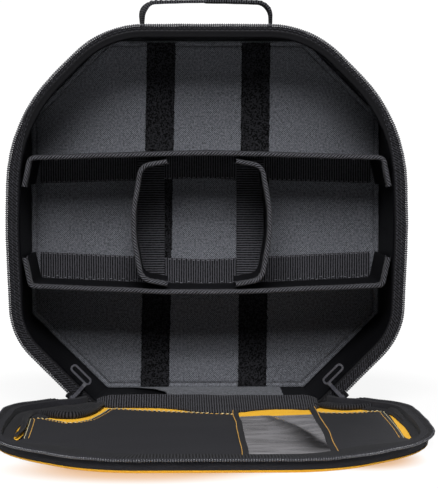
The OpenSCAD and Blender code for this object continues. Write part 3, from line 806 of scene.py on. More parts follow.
@dataclass
class Workshop:
    """What every sub-assembly is made with."""

    sizes: CaseSizes
    outline: Outline
    finishes: dict[str, bpy.types.Material]
    beads: Beads
    pile: Pile

    def place(self, body: str) -> Place:
        """How a body's points go into the row frame: the lid is drawn shut and laid down flat."""
        return self.sizes.opened if body == "lid" else self.sizes.from_mouth

    def dress(self, piece: Piece, body: str, slot: str, node: str = "", finish: str = "") -> Piece:
        """Gives a piece its finish, by its slot unless another is given, sets it on its body, and hides the solid
        that it stands for.

        Args:
            piece: The piece.
            body: The body it rides on; none for a blend.
            slot: Its material slot in the record.
            node: The solid that it stands in for, if any.
            finish: Its finish, where that isn't the slot's own.

        Returns:
            The piece.
        """
        piece.data.materials.clear()
        piece.data.materials.append(self.finishes[finish or slot])
        if body:
            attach(piece, body)
        if node:
            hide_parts(node)
        log.info("%s: %d faces on %s", piece.name, len(piece.data.polygons), body or "a blend")
        return piece

    def form(
        self, name: str, grid: Array, body: str, slot: str, node: str = "", finish: str = "", **how: Any
    ) -> Piece:
        """Makes a piece from rows of points with surface, and dresses it."""
        piece = surface(name, grid, self.place(body), **{"sharp_deg": 50.0, **how})
        return self.dress(piece, body, slot, node, finish)

    def plate(self, name: str, rings: list[Array], body: str, slot: str, node: str) -> Piece:
        """Makes a plate from rings of points with disc, and dresses it."""
        return self.dress(disc(name, rings, self.place(body)), body, slot, node)

    def beaded(
        self,
        name: str,
        points: Array,
        size: BeadSize,
        body: str,
        slot: str,
        finish: str,
        node: str = "",
        closed: bool = False,
    ) -> None:
        """Sets beads along a line of points, and dresses them.

        Args:
            name: The piece's name.
            points: The line in millimetres.
            size: The beads' spacing and size.
            body: The body they ride on.
            slot: Their material slot.
            finish: Their finish.
            node: The solid that they stand in for, if any.
            closed: Joins the line's end to its start.
        """
        count = len(points)
        line = bpy.data.meshes.new("line")
        edges = [(i, (i + 1) % count) for i in range(count if closed else count - 1)]
        line.from_pydata(self.place(body)(points).tolist(), edges, [])
        values = {"Spacing": size.spacing * MM, "Length": size.length * MM, "Width": size.width * MM}
        row = self.beads.on(name, add_object("line", line), **values, Finish=self.finishes[finish])
        self.dress(row, body, slot, node, finish)

    def stitches(
        self, name: str, points: Array, body: str, slot: str, thread: str = "black_thread", closed: bool = False
    ) -> None:
        """Sews a row of stitches through the given points."""
        self.beaded(name, points, STITCH, body, slot, thread, closed=closed)


# ---- Shell ------------------------------------------------------------------------------------


@dataclass
class Shell:
    """The padded octagonal shell: walls, back, piping and loop strips."""

    shop: Workshop
    pad: float = 0.8
    stitch_in: float = 4.6
    seam_r: float = 1.3
    flap_front: float = 9.0
    flap_back: float = 89.0
    pile_per_m2: float = 200000.0
    loop_size: float = 1.2

    def wall(self) -> None:
        """Builds the outer cloth over foam, and the smooth lining inside it, turned over the wall's edge."""
        shop = self.shop

        def outer(path: Path, offset: float, y: float) -> Shift:
            """The foam's swell between the seams, and the cloth's unevenness; none under the floor."""
            free = 1 - np.abs(path.normals[:, 1]) ** 3
            swell = self.pad * hump((y - 1.3) / 88.3) * (1 + 0.5 * ripple(path.along, y, 60, 3)) * free
            return swell if offset > 3 else 0.0, 0.0

        deep = np.linspace(4.5, 88.8, 15)
        profile = [(1.5, 4.1), (3.0, 3.6), (5.0, 3.0), (5.7, 3.1)] + [(shop.sizes.wall, y) for y in deep]
        profile += [(5.4, 89.6), (1.7, 89.6)] + [(1.1, y) for y in deep[::-1]]
        grid = swept(shop.outline.ring, profile, outer)
        wall = shop.form("shell_wall", grid, "shell", "outer_cloth", "wall_gusset", ring=True, sharp_deg=60.0)

        def inner(path: Path, offset: float, y: float) -> Shift:
            """A soft roll just inside the mouth, then faint puckers towards the back."""
            slack = 0.25 + 0.35 * clamp(-path.normals[:, 1]) ** 4
            pucker = slack * ripple(path.along, y * 0.4, 38, 5) * hump(y / 90)
            return -1.3 * bell((y - 5.4) / 2.0) + pucker - 0.1 if offset < 0.5 else 0.0, 0.0

        fine = [2.9, 3.5, 4.2, 5.0, 5.8, 6.8, 8.0, 9.6, *np.linspace(13, 92, 17)]
        profile = [(0.0, y) for y in reversed(fine)] + [(0.7, 2.75), (2.0, 2.65), (3.5, 2.3), (5.0, 1.95)]
        profile += [(5.5, 2.3), (5.2, 2.9), (3.0, 3.45), (1.6, 3.95)] + [(1.0, y) for y in fine[2:]]
        grid = swept(shop.outline.ring, profile, inner)
        lining = shop.form("shell_lining", grid, "shell", "black_lining", "wall_lining", ring=True, sharp_deg=75.0)

    def rings(self, levels: list[tuple[float, ...]], seed: int = 0, swell: float = 0.0) -> list[Array]:
        """Rings of the back's outline.

        Args:
            levels: Offset from the back's outline and depth, and share of the swell where there is one.
            seed: Picks the unevenness.
            swell: How far the middle stands proud.

        Returns:
            One closed ring for each level.
        """
        path = self.shop.outline.ring(self.shop.sizes.depth)
        rings = []
        for offset, y, *share in levels:
            flat = drawn_in(path.at(max(offset, -3.9)), offset, 3.9, 150.1)
            if share:
                y = y + share[0] * swell * (1 + 0.35 * ripple(*flat.T, 70, seed))
            rings.append(rows_of(flat, y))
        return rings

    def back(self) -> None:
        """Builds the topstitched grey lining, and the padded outer cover with its piping."""
        shop, d, deep = self.shop, self.shop.sizes.depth, self.stitch_in
        levels = [(o, d, 1.0) for o in (-129, -110, -90, -70, -50, -38, -30, -24, -18, -13, -9, -6.4)]
        levels += [(-deep - 0.8, d, 0.5), (-deep, d, -0.8), (-deep + 0.8, d, 0.5), (-2.2, d, 1.1), (-0.7, d, 0.9)]
        levels += [(-0.2, d + 0.6, 0.3), (-0.2, d + 1.9), (-3.0, d + 2.0), (-60.0, d + 2.0)]
        rings = self.rings(levels, 11, -0.7)
        lining = shop.plate("back_lining_panel", rings, "shell", "grey_lining", "back_lining")
        path = shop.outline.ring(d)
        row = rows_of(path.at(-deep), d - 0.15)
        shop.stitches("back_lining_topstitch", row, "shell", "grey_lining", "grey_thread", True)
        front, rear = (corner[1] for corner in shop.sizes.box("back_cover"))
        levels = [(-60.0, front), (4.0, front), (5.2, front + 0.3), (5.3, front + 1.2), (4.4, rear - 0.7)]
        levels += [(2.0, rear - 0.15), (-1.0, rear), (-4.0, rear - 0.1), (-5.0, rear - 0.5), (-6.0, rear - 0.1)]
        levels += [(o, rear) for o in (-9.0, -20.0, -50.0, -90.0, -129.0)]
        cover = shop.plate("back_cover_panel", self.rings(levels), "shell", "outer_cloth", "back_cover")
        row = rows_of(path.at(-5.0), rear - 0.4)
        shop.stitches("back_cover_topstitch", row, "shell", "outer_cloth", closed=True)
        low, high = shop.sizes.box("back_piping")
        angles = np.arange(12) * math.pi / 6
        out, back = self.seam_r * np.cos(angles), self.seam_r * np.sin(angles)
        profile = np.stack([4.6 + out, (low[1] + high[1]) / 2 + back], 1)
        grid = swept(lambda y: path, profile)
        shop.form("back_seam_piping", grid, "shell", "piping", "back_piping", ring=True, sharp_deg=60.0)

    def flap(self) -> None:
        """Builds the loose flap of grey cloth that lies on the floor in front of the back."""
        deep = np.linspace(self.flap_back, self.flap_front, 30)
        share, y = np.meshgrid(np.linspace(0, 1, 46), deep, indexing="ij")
        left = -34.0 - 34.0 * clamp((y - 30) / 59) ** 2
        x = left + (66.0 - left) * share
        free = clamp((self.flap_back - y) / 30)
        z = 6.75 + 0.5 * free * (1 + ripple(x, y, 30, 25)) + 0.9 * clamp((70 - y) / 80) ** 2
        z = z + 1.6 * free * bell(share / 0.05)
        x = x + 0.5 * ripple(y, 0 * y, 30, 26)
        top, low = np.stack([x, y, z + 0.5], -1), np.stack([x, y, z], -1)
        grid = np.concatenate([top, low[:, ::-1]], axis=1)
        cloth = self.shop.form("floor_flap", grid, "shell", "grey_lining")

    def loops(self) -> None:
        """Builds the two strips of looped pile on the back lining."""
        shop, s = self.shop, self.shop.sizes
        for side, lean, seed in (("left", 3.2, 21), ("right", 1.6, 22)):
            low, high = s.box(f"loop_strip_{side}")
            z = np.linspace(low[2], high[2], 75)
            slant = lean * 2 * ((z - low[2]) / (high[2] - low[2]) - 0.5)
            profile = rounded_profile(low[:2], high[:2], 0.5, 4.0)
            columns = [np.stack([x + slant + 0.35 * ripple(z, x, 9, seed), 0 * z + y, z], 1) for x, y in profile]
            base = surface(f"strip_{side}", np.stack(columns, 1), s.from_mouth)
            values = {"Density": self.pile_per_m2, "Size": self.loop_size * MM, "Seed": seed}
            strip = shop.pile.on(f"loop_pile_{side}", base, **values, Finish=shop.finishes["loop_pile"])
            shop.dress(strip, "shell", "loop_pile", f"loop_strip_{side}")


def drawn_in(ring: Array, offset: float, limit: float, span: float) -> Array:
    """Draws a ring towards the case's middle, by what an inward offset goes past the limit of its normals."""
    return ring if offset >= -limit else CENTRE + (ring - CENTRE) * (1 + (offset + limit) / span)


@dataclass
class Zip:
    """One half of the zip: woven tape with its stitches, and the coil's teeth along its edge."""

    shop: Workshop
    body: str
    start_z: float
    coil_y: float = 1.35
    drawn_from_z: float = 205.0
    drawn_over: float = 55.0
    drawn_share: float = 0.52

    def depth(self, y: float) -> float:
        """Depth on this half: the lid's half mirrors the shell's about the hinge's plane."""
        return 2 * self.shop.sizes.hinge_y - y if self.body == "lid" else y

    def gathered(self, path: Path) -> Array:
        """How far the shell's tape is drawn up towards its coil, around the top of the mouth."""
        share = ease(clamp((path.points[:, 1] - self.drawn_from_z) / self.drawn_over))
        return (0.0 if self.body == "lid" else self.drawn_share) * share

    def build(self) -> None:
        """Builds tape, stitches and teeth."""
        shop, s, body = self.shop, self.shop.sizes, self.body
        edge, t = s.wall + s.tape_reach, s.tape_t
        line = [(0.0, 2.9), (1.5, 2.5), (3.0, 2.0), (4.5, 1.5), (6.0, 1.1), (7.0, 0.8), (8.0, 0.6), (edge, 0.6)]
        line += [(edge, 0.6 + t), (8.0, 0.7 + t), (6.0, 1.1 + t), (3.0, 1.9 + t), (0.0, 2.8 + t)]
        profile = [(offset, self.depth(y)) for offset, y in line]

        def waver(path: Path, offset: float, y: float) -> Shift:
            """The tape's edge isn't quite straight between its stitches."""
            free = max(offset - 3.0, 0.0) / 6.0
            out = (edge - offset) * self.gathered(path) + 0.15 * free * ripple(path.along, 0.0, 26, 31)
            return out, 0.3 * free * ripple(path.along, 9.0, 34, 32)

        rim = shop.outline.rim(self.start_z)
        grid = swept(lambda y: rim, profile, waver)
        shop.form(f"{body}_zip_tape_woven", grid, body, "zip_tape", f"{body}_zip_tape", sharp_deg=60.0)
        for name, offset, y in (("inner", 1.6, 2.35), ("outer", 5.2, 1.15)):
            row = rows_of(rim.at(offset + (edge - offset) * self.gathered(rim)), self.depth(y))
            shop.stitches(f"{body}_zip_{name}_stitches", row, body, "zip_tape")
        coil = shop.outline.rim(self.start_z + 2.5)
        out, back = waver(coil, edge, 0.0)
        row = rows_of(coil.at(s.coil_at - 0.25 + out), self.depth(self.coil_y) + back)
        shop.beaded(f"{body}_zip_teeth", row, TOOTH, body, "zip_coil", "zip_coil", f"{body}_zip_coil")


@dataclass
class Handle:
    """The webbing handle: a loop with gathered feet, and the patches that hold it to the roof."""

    shop: Workshop
    width: float = 20.0
    thick: float = 2.7
    half_span: float = 55.0
    radius: float = 12.0
    crown: float = 1.5
    foot_r: float = 3.2
    gather: float = 11.0
    sewn_from: float = 17.0
    sewn_in: float = 2.2
    twist: tuple[float, float] = (0.21, -0.04)

    def build(self) -> None:
        """Builds the loop and its two sewn patches."""
        shop, s = self.shop, self.shop.sizes
        low, high = s.box("handle_webbing")
        foot, top, half = low[2] + 0.3, high[2] - self.thick / 2, self.half_span
        points = [(half, foot), (half, top - self.crown), (0.0, top), (-half, top - self.crown), (-half, foot)]
        path = bent_path(points, [self.radius, 900.0, self.radius], 10)
        path = path.dense(path.counts(2.5))
        size = len(path.points)
        height = path.points[:, 1] - foot
        free = clamp((height - self.foot_r) / self.gather)
        wide = self.foot_r * 2 + (self.width - 2 * self.foot_r) * free**0.8
        turn = np.where(np.linspace(0, 1, size) > 0.5, self.twist[0], self.twist[1])
        turn = turn * clamp(height / 4) * clamp((25 - height) / 7)
        section = rounded_profile((-0.5, -0.5), (0.5, 0.5), 0.12, 0.12)
        rows = []
        for k in range(size):
            thick = self.thick * (1 + 0.04 * math.sin(k * 0.9)) * (1.25 if height[k] < 4 else 1.0)
            across, up = section[:, 0] * wide[k], section[:, 1] * thick
            c, d = math.cos(turn[k]), math.sin(turn[k])
            flat = path.points[k] + path.normals[k] * (across * d + up * c)[:, None]
            rows.append(rows_of(flat, across * c - up * d + s.depth / 2))
        shop.form("handle_strap", np.stack(rows), "handle", "webbing", "handle_webbing")
        for name, edge in (("front", -1), ("back", 1)):
            lift = path.at(self.thick / 2 + 0.1)[height > self.sewn_from]
            row = rows_of(lift, s.depth / 2 + (self.width / 2 - self.sewn_in) * edge)
            shop.stitches(f"handle_stitches_{name}", row, "handle", "webbing")
        for side in ("left", "right"):
            self.patch(side)

    def fall(self, x: float, y: float) -> float:
        """How far the roof's outside has dropped below its flat stretch at a place."""
        s = self.shop.sizes
        side = self.shop.outline.side(y, 4).at(s.wall)[::-1]
        return float(s.roof_z + s.wall - np.interp(abs(x), side[:, 0], side[:, 1]))

    def patch(self, side: str) -> None:
        """Builds one sewn-down end of the webbing, with its boxed cross of stitches."""
        shop, node = self.shop, f"handle_anchor_{side}"
        low, high = shop.sizes.box(node)
        y, z = rounded_profile(low[1:], high[1:], 0.5, 2.5).T
        grid = []
        for x in np.linspace(low[0], high[0], 18):
            lift = 0.15 * ripple(x, y, 12, 41) * (z > low[2] + 1) - [self.fall(x, at) for at in y]
            grid.append(cut_at(x, np.stack([y, z + lift], 1)))
        shop.form(f"handle_patch_{side}", np.stack(grid), "shell", "webbing", node)
        x0, x1, y0, y1 = low[0] + 3, high[0] - 3, low[1] + 3, high[1] - 3
        box = np.array([(x0, y0), (x1, y0), (x1, y1), (x0, y1), (x0, y0), (x1, y1), (x1, y0), (x0, y1)])
        fine = [a * (1 - t) + b * t for a, b in zip(box, box[1:]) for t in np.linspace(0, 0.9, 8)]
        row = np.array([(*at, high[2] + 0.15 - self.fall(*at)) for at in fine])
        shop.stitches(f"handle_patch_{side}_stitches", row, "shell", "webbing")


# ---- Shelves and dividers ---------------------------------------------------------------------

# Heights of each shelf's ends and middle, and 1 where its side flaps hang down or -1 where they stand up.
SHELVES = {"upper": (212.5, 217.0, 1.0), "lower": (104.0, 97.0, -1.0)}


@dataclass
class Panels:
    """The two foam shelves and the two dividers, with their bindings and webbing tabs."""

    shop: Workshop
    panel_t: float = 4.0
    binding_t: float = 0.7
    foam_half: float = 1.3
    edge_half: float = 1.85
    binding_l: float = 10.0
    front: float = 8.0
    flap_l: float = 24.0
    flap_lean: float = 5.0
    flap_room: float = 0.6
    fold_r: float = 5.0
    reach: float = 22.0
    bow: float = 8.5
    fall: float = 4.0
    tab_w: float = 24.0
    wave: float = 0.22
    spread: dict[str, Array] = field(default_factory=dict)

    def side_x(self, y: float, z: float) -> float:
        """Half of the clear width between the side walls."""
        corners = self.shop.outline.corners(y)
        low, high = (corners[1], corners[2]) if z < corners[2][1] else (corners[2], corners[3])
        return float(low[0] + (high[0] - low[0]) * (z - low[1]) / (high[1] - low[1]))

    def shelf_path(self, which: str, y: float) -> Path:
        """A shelf's middle line at depth y, from one flap's edge to the other's, always in as many points."""
        end_z, mid_z, rise = SHELVES[which]
        tip_z = end_z - rise * self.flap_l
        tip = self.side_x(min(y, 90.0), tip_z) - (self.panel_t / 2 + self.binding_t) - self.flap_room
        fold = tip - self.flap_lean
        points = [(rise * tip, tip_z), (rise * fold, end_z), (0.0, mid_z)]
        points += [(-rise * fold, end_z), (-rise * tip, tip_z)]
        path = bent_path(points, [self.fold_r, 1500.0, self.fold_r])
        return path.dense(self.spread.setdefault(which, path.counts(6.0)))

    def divider_path(self, side: str) -> Path:
        """A divider's middle line, read off its solid's box."""
        low, high = self.shop.sizes.box(f"{side}_divider")
        way, tip = (-1.0, high[0]) if side == "left" else (1.0, low[0])
        half = self.panel_t / 2
        top, foot = high[2] - half - 0.1, low[2] + half + 0.1
        fold = tip + way * self.reach
        points = [(tip, top), (fold, top - self.fall), (fold + way * self.bow, (top + foot) / 2)]
        points += [(fold, foot + self.fall), (tip, foot)]
        path = bent_path(points if way < 0 else points[::-1], [11.0, 120.0, 11.0])
        return path.dense(path.counts(5.0))

    def panel(self, name: str, path: Callable[[float], Path], seed: int) -> None:
        """Builds one foam panel and the tape bound over its front edge."""
        shop = self.shop
        y0, y1 = (corner[1] for corner in shop.sizes.box(name))

        def soft(run: Path, offset: float, y: float) -> Shift:
            """The foam's slight waves, which die out at the free ends and the back."""
            count = np.arange(len(run.points))
            calm = clamp(np.minimum(count, count[::-1]) / 6.0)
            calm = calm * math.cos(clamp((y - y0) / (y1 - y0)) * math.pi / 2) ** 0.5
            return self.wave * calm * ripple(*run.points.T, 45, seed), 0.0

        half = self.foam_half
        profile = rounded_profile((-half, y0), (half, y1), 0.8, 6.0)
        foam = shop.form(f"{name}_foam", swept(path, profile, soft), name, "black_lining", name)
        b, t, front, end = self.edge_half, 0.5, self.front, self.front + self.binding_l
        right = [(0.7, front), (b - 0.5, front + 0.4), (b, front + 1.6), (b + 0.12, end - 4), (b, end)]
        inner = [(b - t, end), (b - t, front + t + 0.3)]
        profile = [(-x, y) for x, y in right[::-1]] + right + inner + [(-x, y) for x, y in inner[::-1]]
        shop.form(f"{name}_edge_tape", swept(path, profile, soft), name, "binding", f"{name}_binding")
        for label, offset in (("over", b + 0.1), ("under", -b - 0.1)):
            run = path(end - 2.0)
            row = rows_of(run.at(offset + soft(run, offset, end - 2.0)[0]), end - 2.0)
            shop.stitches(f"{name}_{label}_stitches", row, name, "binding")

    def shelf_tab(self, which: str) -> None:
        """Builds the tab along the back of a shelf, with its hem and its zigzag of stitches."""
        shop, name = self.shop, f"{which}_shelf"
        end_z, mid_z, rise = SHELVES[which]
        low, high = shop.sizes.box(f"{name}_tab")
        x = np.linspace(low[0], high[0], 61) * rise
        middle = mid_z + (end_z - mid_z) * np.abs(x) / high[0]
        up, y = rounded_profile((-self.tab_w, low[1]), (self.panel_t / 4, high[1]), 0.5, 4.0).T
        rows = [
            cut_at(at, np.stack([y + 0.2 * ripple(at, up, 40, 51) * 0.4, z + rise * up], 1))
            for at, z in zip(x, middle)
        ]
        shop.form(f"{name}_webbing", np.stack(rows), name, "webbing", f"{name}_tab")
        zig = np.where(np.arange(len(x)) % 2 == 0, 1.4, -1.4)
        for label, away in (("hem", -self.tab_w + 1.0 + 0 * zig), ("zigzag", -2.4 + zig)):
            row = np.stack([x, np.full(len(x), low[1] - 0.3), middle + rise * away], 1)
            shop.stitches(f"{name}_tab_{label}", row, name, "webbing", "grey_thread")

    def divider_tab(self, name: str) -> None:
        """Builds the upright tab at the back of a divider."""
        low, high = self.shop.sizes.box(f"{name}_tab")
        profile = rounded_profile(low[:2], high[:2], 0.5, 4.0)
        rows = [np.column_stack([profile, np.full(len(profile), z)]) for z in np.linspace(low[2], high[2], 28)]
        self.shop.form(f"{name}_webbing", np.stack(rows), name, "webbing", f"{name}_tab")

    def build(self) -> None:
        """Builds both shelves and both dividers."""
        for which, seed in zip(SHELVES, (61, 62)):
            self.panel(f"{which}_shelf", lambda y, w=which: self.shelf_path(w, y), seed)
            self.shelf_tab(which)
        for side, seed in (("left", 63), ("right", 64)):
            path = self.divider_path(side)
            self.panel(f"{side}_divider", lambda y, p=path: p, seed)
            self.divider_tab(f"{side}_divider")


# ---- Lid --------------------------------------------------------------------------------------

# Traced on the shut lid, in x and z: the pockets' mouths, the slack rolls, and the whole mouth in brief.
MOUTH_LEFT: Marks = [
    (-150, 90), (-143, 91), (-130, 97), (-119, 110), (-113, 118), (-104.8, 116), (-95.6, 102.7),
    (-87.8, 73.1), (-83.1, 47), (-76, 42), (-68, 46.7), (-56.4, 50.8), (-33.3, 59.1), (20, 75),
]
MOUTH_RIGHT: Marks = [
    (88, 63), (95.1, 68.5), (110, 71), (124, 68), (134, 63), (140, 61), (144.5, 68), (147, 90), (152, 100),
]
ROLL_LEFT: Marks = [
    (-148.5, 200), (-144, 168), (-145, 132), (-146.8, 100), (-144, 84), (-138, 79), (-130, 83),
    (-121, 90), (-113, 94), (-105, 91), (-98, 78), (-93, 60), (-90, 44), (-88, 31), (-86, 20),
]
ROLL_RIGHT: Marks = [
    (86, 24), (93, 36), (101, 46), (111, 52), (122, 50), (132, 45), (141, 44), (148, 51), (152, 65),
    (153.5, 84), (154, 104), (154, 126),
]
MOUTH_LINE: Marks = [
    (-150, 105), (-116, 122), (-95, 102), (-84, 56), (-70, 45), (-33, 59), (20, 74), (88, 66),
    (110, 76), (134, 68), (150, 92),
]


@dataclass
class Lid:
    """The shallow zipped lid: outer face, side wall, lining, pockets and clear window."""

    shop: Workshop
    start_z: float = 33.0
    hinge_edge: float = 13.3
    hinge_points: int = 40
    window: tuple[float, float] = (20.0, 88.0)
    film_t: float = 0.7
    tape_top: float = -1.9
    roll_top: float = -1.6
    roll_base: float = -8.2
    pocket_y: float = -7.5
    pocket_rise: float = 3.0
    crease_start: tuple[float, float] = (45.0, 84.0)
    crease_end: tuple[float, float] = (84.0, 260.0)

    def plan(self) -> Path:
        """The lid's closed plan: the mouth's outline, drawn in at both ends of the hinge."""
        draw = np.array([(101.0, self.hinge_edge), (103.5, 19.0), (106.5, 24.5), (112.0, 28.8), (118.0, 31.8)])
        right = np.vstack([draw[:1], (draw[0] * 0.5 + draw[1] * 0.5)[None], draw[1:]])
        bottom = [(x, self.hinge_edge) for x in np.linspace(-96, 96, self.hinge_points)]
        points = np.vstack([right, self.shop.outline.rim(self.start_z).points, right[::-1] * (-1, 1), bottom])
        closed = np.vstack([points[-1:], points, points[:1]])
        return square_to(points, (closed[2:] - closed[:-2]) / 2)

    def scaled(self, path: Path, offset: float) -> Array:
        """The plan moved out by an offset, or drawn towards its middle by a large inward one."""
        edge = path.at(min(max(offset, -4.0), 6.0))
        edge[:, 1] = np.maximum(edge[:, 1], self.hinge_edge)
        return drawn_in(edge, offset, 4.0, 150.0)

    def shell(self) -> None:
        """Builds the padded face, the lining and the side wall with its inner tape."""
        shop, s = self.shop, self.shop.sizes
        plan = self.plan()
        outside = s.hinge_y - s.lid_depth
        face = outside + s.face_t
        levels = [(-130, 0), (-90, 0), (-50, 0), (-24, 0), (-16, 0.06), (-9, 0.22), (-4, 0.45), (-1, 0.7)]
        levels = [(o, outside + up) for o, up in [*levels, (2.0, 1.2), (4.2, 2.0), (5.3, 2.8)]]
        levels += [(5.6, face - 0.2), (4.6, face), (-4.0, face), (-60.0, face)]
        rings = [rows_of(self.scaled(plan, o), y) for o, y in levels]
        outer = shop.plate("lid_outer_face", rings, "lid", "yellow_cloth", "lid_face")
        row = rows_of(self.scaled(plan, -6.0), outside + 0.3)
        shop.stitches("lid_face_topstitch", row, "lid", "yellow_cloth", "yellow_thread", True)
        top, base = face + (s.layer_gap + s.lining_t), face + s.layer_gap
        levels = [(-130, base), (-20, base), (-1, base), (-0.4, base + 0.5), (-1, top)]
        levels += [(o, top) for o in (-6, -12, -30, -60, -95, -130)]
        rings = []
        for o, y in levels:
            flat = self.scaled(plan, o)
            swell = 0.5 * ripple(*flat.T, 55, 71) if y > base + 0.6 and o < -2 else 0.0
            rings.append(rows_of(flat, y + swell))
        lining = shop.plate("lid_lining_cloth", rings, "lid", "yellow_lining", "lid_lining")
        run = Path(plan.points[: -self.hinge_points], plan.normals[: -self.hinge_points])
        low, high = face + s.layer_gap, 2 * s.hinge_y - s.tape_t - s.layer_gap

        def bulge(path: Path, offset: float, y: float) -> Shift:
            """The side wall's padding, slack towards the hinge."""
            wave = 1 + 0.6 * ripple(path.along, 0.0, 48, 73)
            return (1.0 if offset > 3 else -0.4) * 0.7 * hump((y - low) / (high - low)) * wave, 0.0

        y = np.linspace(low, high, 8)
        profile = [(0.1, v) for v in y[::-1]] + [(5.2 + 0.1 * k, v) for k, v in enumerate(y)]
        grid = swept(lambda _: run, profile, bulge)
        wall = shop.form("lid_side_wall", grid, "lid", "outer_cloth", "lid_gusset")
        self.inner_tape(run)
        self.slack_rolls()

    def inner_tape(self, run: Path) -> None:
        """Builds the ribbed tape inside the side wall: a slope at the front, a slack roll by the hinge."""
        steps = np.linalg.norm(np.diff(run.points, axis=0), axis=1)
        right = np.concatenate([[0.0], np.cumsum(steps)])
        left = right[-1] - right
        slack = traced(left, [(0, 14), (30, 37), (50, 50), (65, 47), (80, 38), (97, 27), (112, 11), (150, 9)])
        plain = traced(right, [(0, 11), (30, 8), (80, 7), (150, 6.5)])
        front = ease(clamp((run.points[:, 1] - 190) / 90))
        wide = np.where(left < right, slack, plain) + 20 * front
        loose = clamp(1 - np.minimum(left / 150, 1)) * clamp(left / 12)
        loose = loose + clamp(1 - right / 140) * clamp(right / 12) * 0.5
        outer_y, inner_y = -6.6 + 4.6 * front, -7.4 + 3.4 * front
        columns = []
        for side, under in ((1, 0.0), (-1, 1.0)):
            for t in np.linspace(0, 1, 11)[::side]:
                flat = run.at(-0.3 - t * (wide - 0.3))
                flat[:, 1] = np.maximum(flat[:, 1], self.hinge_edge + 0.2)
                mound = math.sin(math.pi * t)
                y = outer_y * (1 - t) + inner_y * t + (0.5 + 3.2 * loose) * mound * (1 - 0.5 * t)
                y = y + 0.8 * loose * ripple(run.along, t * 20, 18, 75) * mound
                columns.append(rows_of(flat, np.minimum(y, self.tape_top) - under))
        grid = np.stack(columns, 1)
        self.shop.form("lid_seam_tape", grid, "lid", "binding", "lid_seam_binding", "seam_tape", sharp_deg=60.0)

    def slack_rolls(self) -> None:
        """Builds the rolls that the slack seam tape makes at both ends of the hinge."""
        at = np.linspace(0, 1, 90)
        for side, marks, thick in (("left", ROLL_LEFT, 3.3), ("right", ROLL_RIGHT, 2.6)):
            known = np.array(marks, float)
            apart = (at[:, None] - np.linspace(0, 1, len(known))[None, :]) * (len(known) - 1)
            weights = np.exp(-(apart**2) / 0.9)
            middle = weights @ known / weights.sum(axis=1, keepdims=True)
            path = square_to(middle, np.gradient(middle, axis=0))
            radius = thick * hump(np.clip(at, 0.02, 0.98)) ** 0.35 * (1 + 0.08 * ripple(at * 300, 0 * at, 22, 77))
            columns = []
            for angle in np.arange(14) * math.pi / 7:
                rise = self.roll_base + thick * 0.75 + radius * math.sin(angle)
                columns.append(rows_of(path.at(radius * math.cos(angle)), np.minimum(rise, self.roll_top)))
            grid = np.stack(columns, 1)
            self.shop.form(f"lid_slack_roll_{side}", grid, "lid", "binding", finish="seam_tape")

    def top_y(self, x: Array, z: Array) -> Array:
        """Height of the pockets' outer face: lying on the lining at the mouth, lifted towards the zip."""
        share = clamp((z - traced(x, MOUTH_LINE)) / 120)
        half = traced(z, [(20, 112), (60, 138), (110, 146), (200, 146), (240, 140)])
        edge = np.maximum(clamp((half - np.abs(x)) / 40), clamp((z - 200) / 40))
        lift = self.pocket_rise * (ease(share) * (0.25 + 0.75 * edge))
        return self.pocket_y + lift + 0.35 * ripple(x, z, 70, 81) * clamp(share * 4)

    def panel(
        self, name: str, mouth: Marks, side: Marks, x0: float, x1: float, slot: str, node: str, finish: str = ""
    ) -> Piece:
        """Builds a pocket panel or the window's film, from its mouth down to the zip.

        Args:
            name: The piece's name.
            mouth: Points of the mouth in x and z, from left to right.
            side: Points of the outer edge, as height and distance from the middle.
            x0: Its left edge.
            x1: Its right edge.
            slot: Its material slot.
            node: The solid that it stands in for.
            finish: Its finish, where that isn't the slot's own.

        Returns:
            The piece.
        """
        rim = self.shop.outline.coarse(0.0)
        rim = rim.dense(rim.counts(2.0, True)).at(-1.5)
        upper = rim[rim[:, 1] > 150]
        across = np.linspace(x0, x1, max(30, int((x1 - x0) / 3)))
        high = traced(across, mouth)
        foot = traced(across, upper[np.argsort(upper[:, 0])])
        z = high[:, None] + (foot - high)[:, None] * np.linspace(0, 1, 70)
        limit = traced(z, side)
        x = np.clip(across[:, None], -limit, limit)
        y = self.top_y(x, z)
        if name == "lid_window_film":
            y = y + self.crumple(x, z)
        top, low = np.stack([x, y, z], -1), np.stack([x, y - self.film_t, z], -1)
        grid = np.concatenate([top, low[:, ::-1]], axis=1)
        piece = self.shop.form(name, grid, "lid", slot, node, finish)
        # Stores the painted crease shade on the mesh, for the vinyl to darken by.
        folds = piece.data.attributes.new(CREASE_SHADE, "FLOAT", "POINT")
        folds.data.foreach_set("value", self.painted_crease_shade(grid[..., 0], grid[..., 2]).ravel())
        return piece

    def painted_crease_shade(self, x: Array, z: Array) -> Array:
        """Painted shade where the film doubles over: a dark line that widens towards the zip."""
        (x0, z0), (x1, z1) = self.crease_start, self.crease_end
        along = clamp((z - z0) / (z1 - z0))
        apart = x - x0 - (x1 - x0) * along
        wide = (2.0 + 11.0 * along) * np.where(apart > 0, 0.45, 1.5)
        fade = clamp((z - 86) / 14) * clamp((285 - z) / 30)
        return clamp(bell(apart / wide) * (0.65 + 0.5 * along) * fade)

    def crumple(self, x: Array, z: Array) -> Array:
        """The clear film's waves, and the long crease across it."""
        x0, z0 = self.crease_start
        way = unit(np.array(self.crease_end) - self.crease_start)
        apart = (x - x0) * way[1] - (z - z0) * way[0]
        deep = clamp((z - 80) / 60) * clamp((250 - z) / 70)
        waves = 0.4 * ripple(x * 0.6, z * 2.2, 60, 83) + 0.15 * ripple(x, z * 3, 22, 84)
        free = clamp((self.window[1] - 3 - x) / 12) * clamp((x - self.window[0] - 3) / 12)
        crease = 3.0 * bell(apart / 6) - 1.6 * bell((apart - 11) / 8)
        return (crease * deep + waves) * free

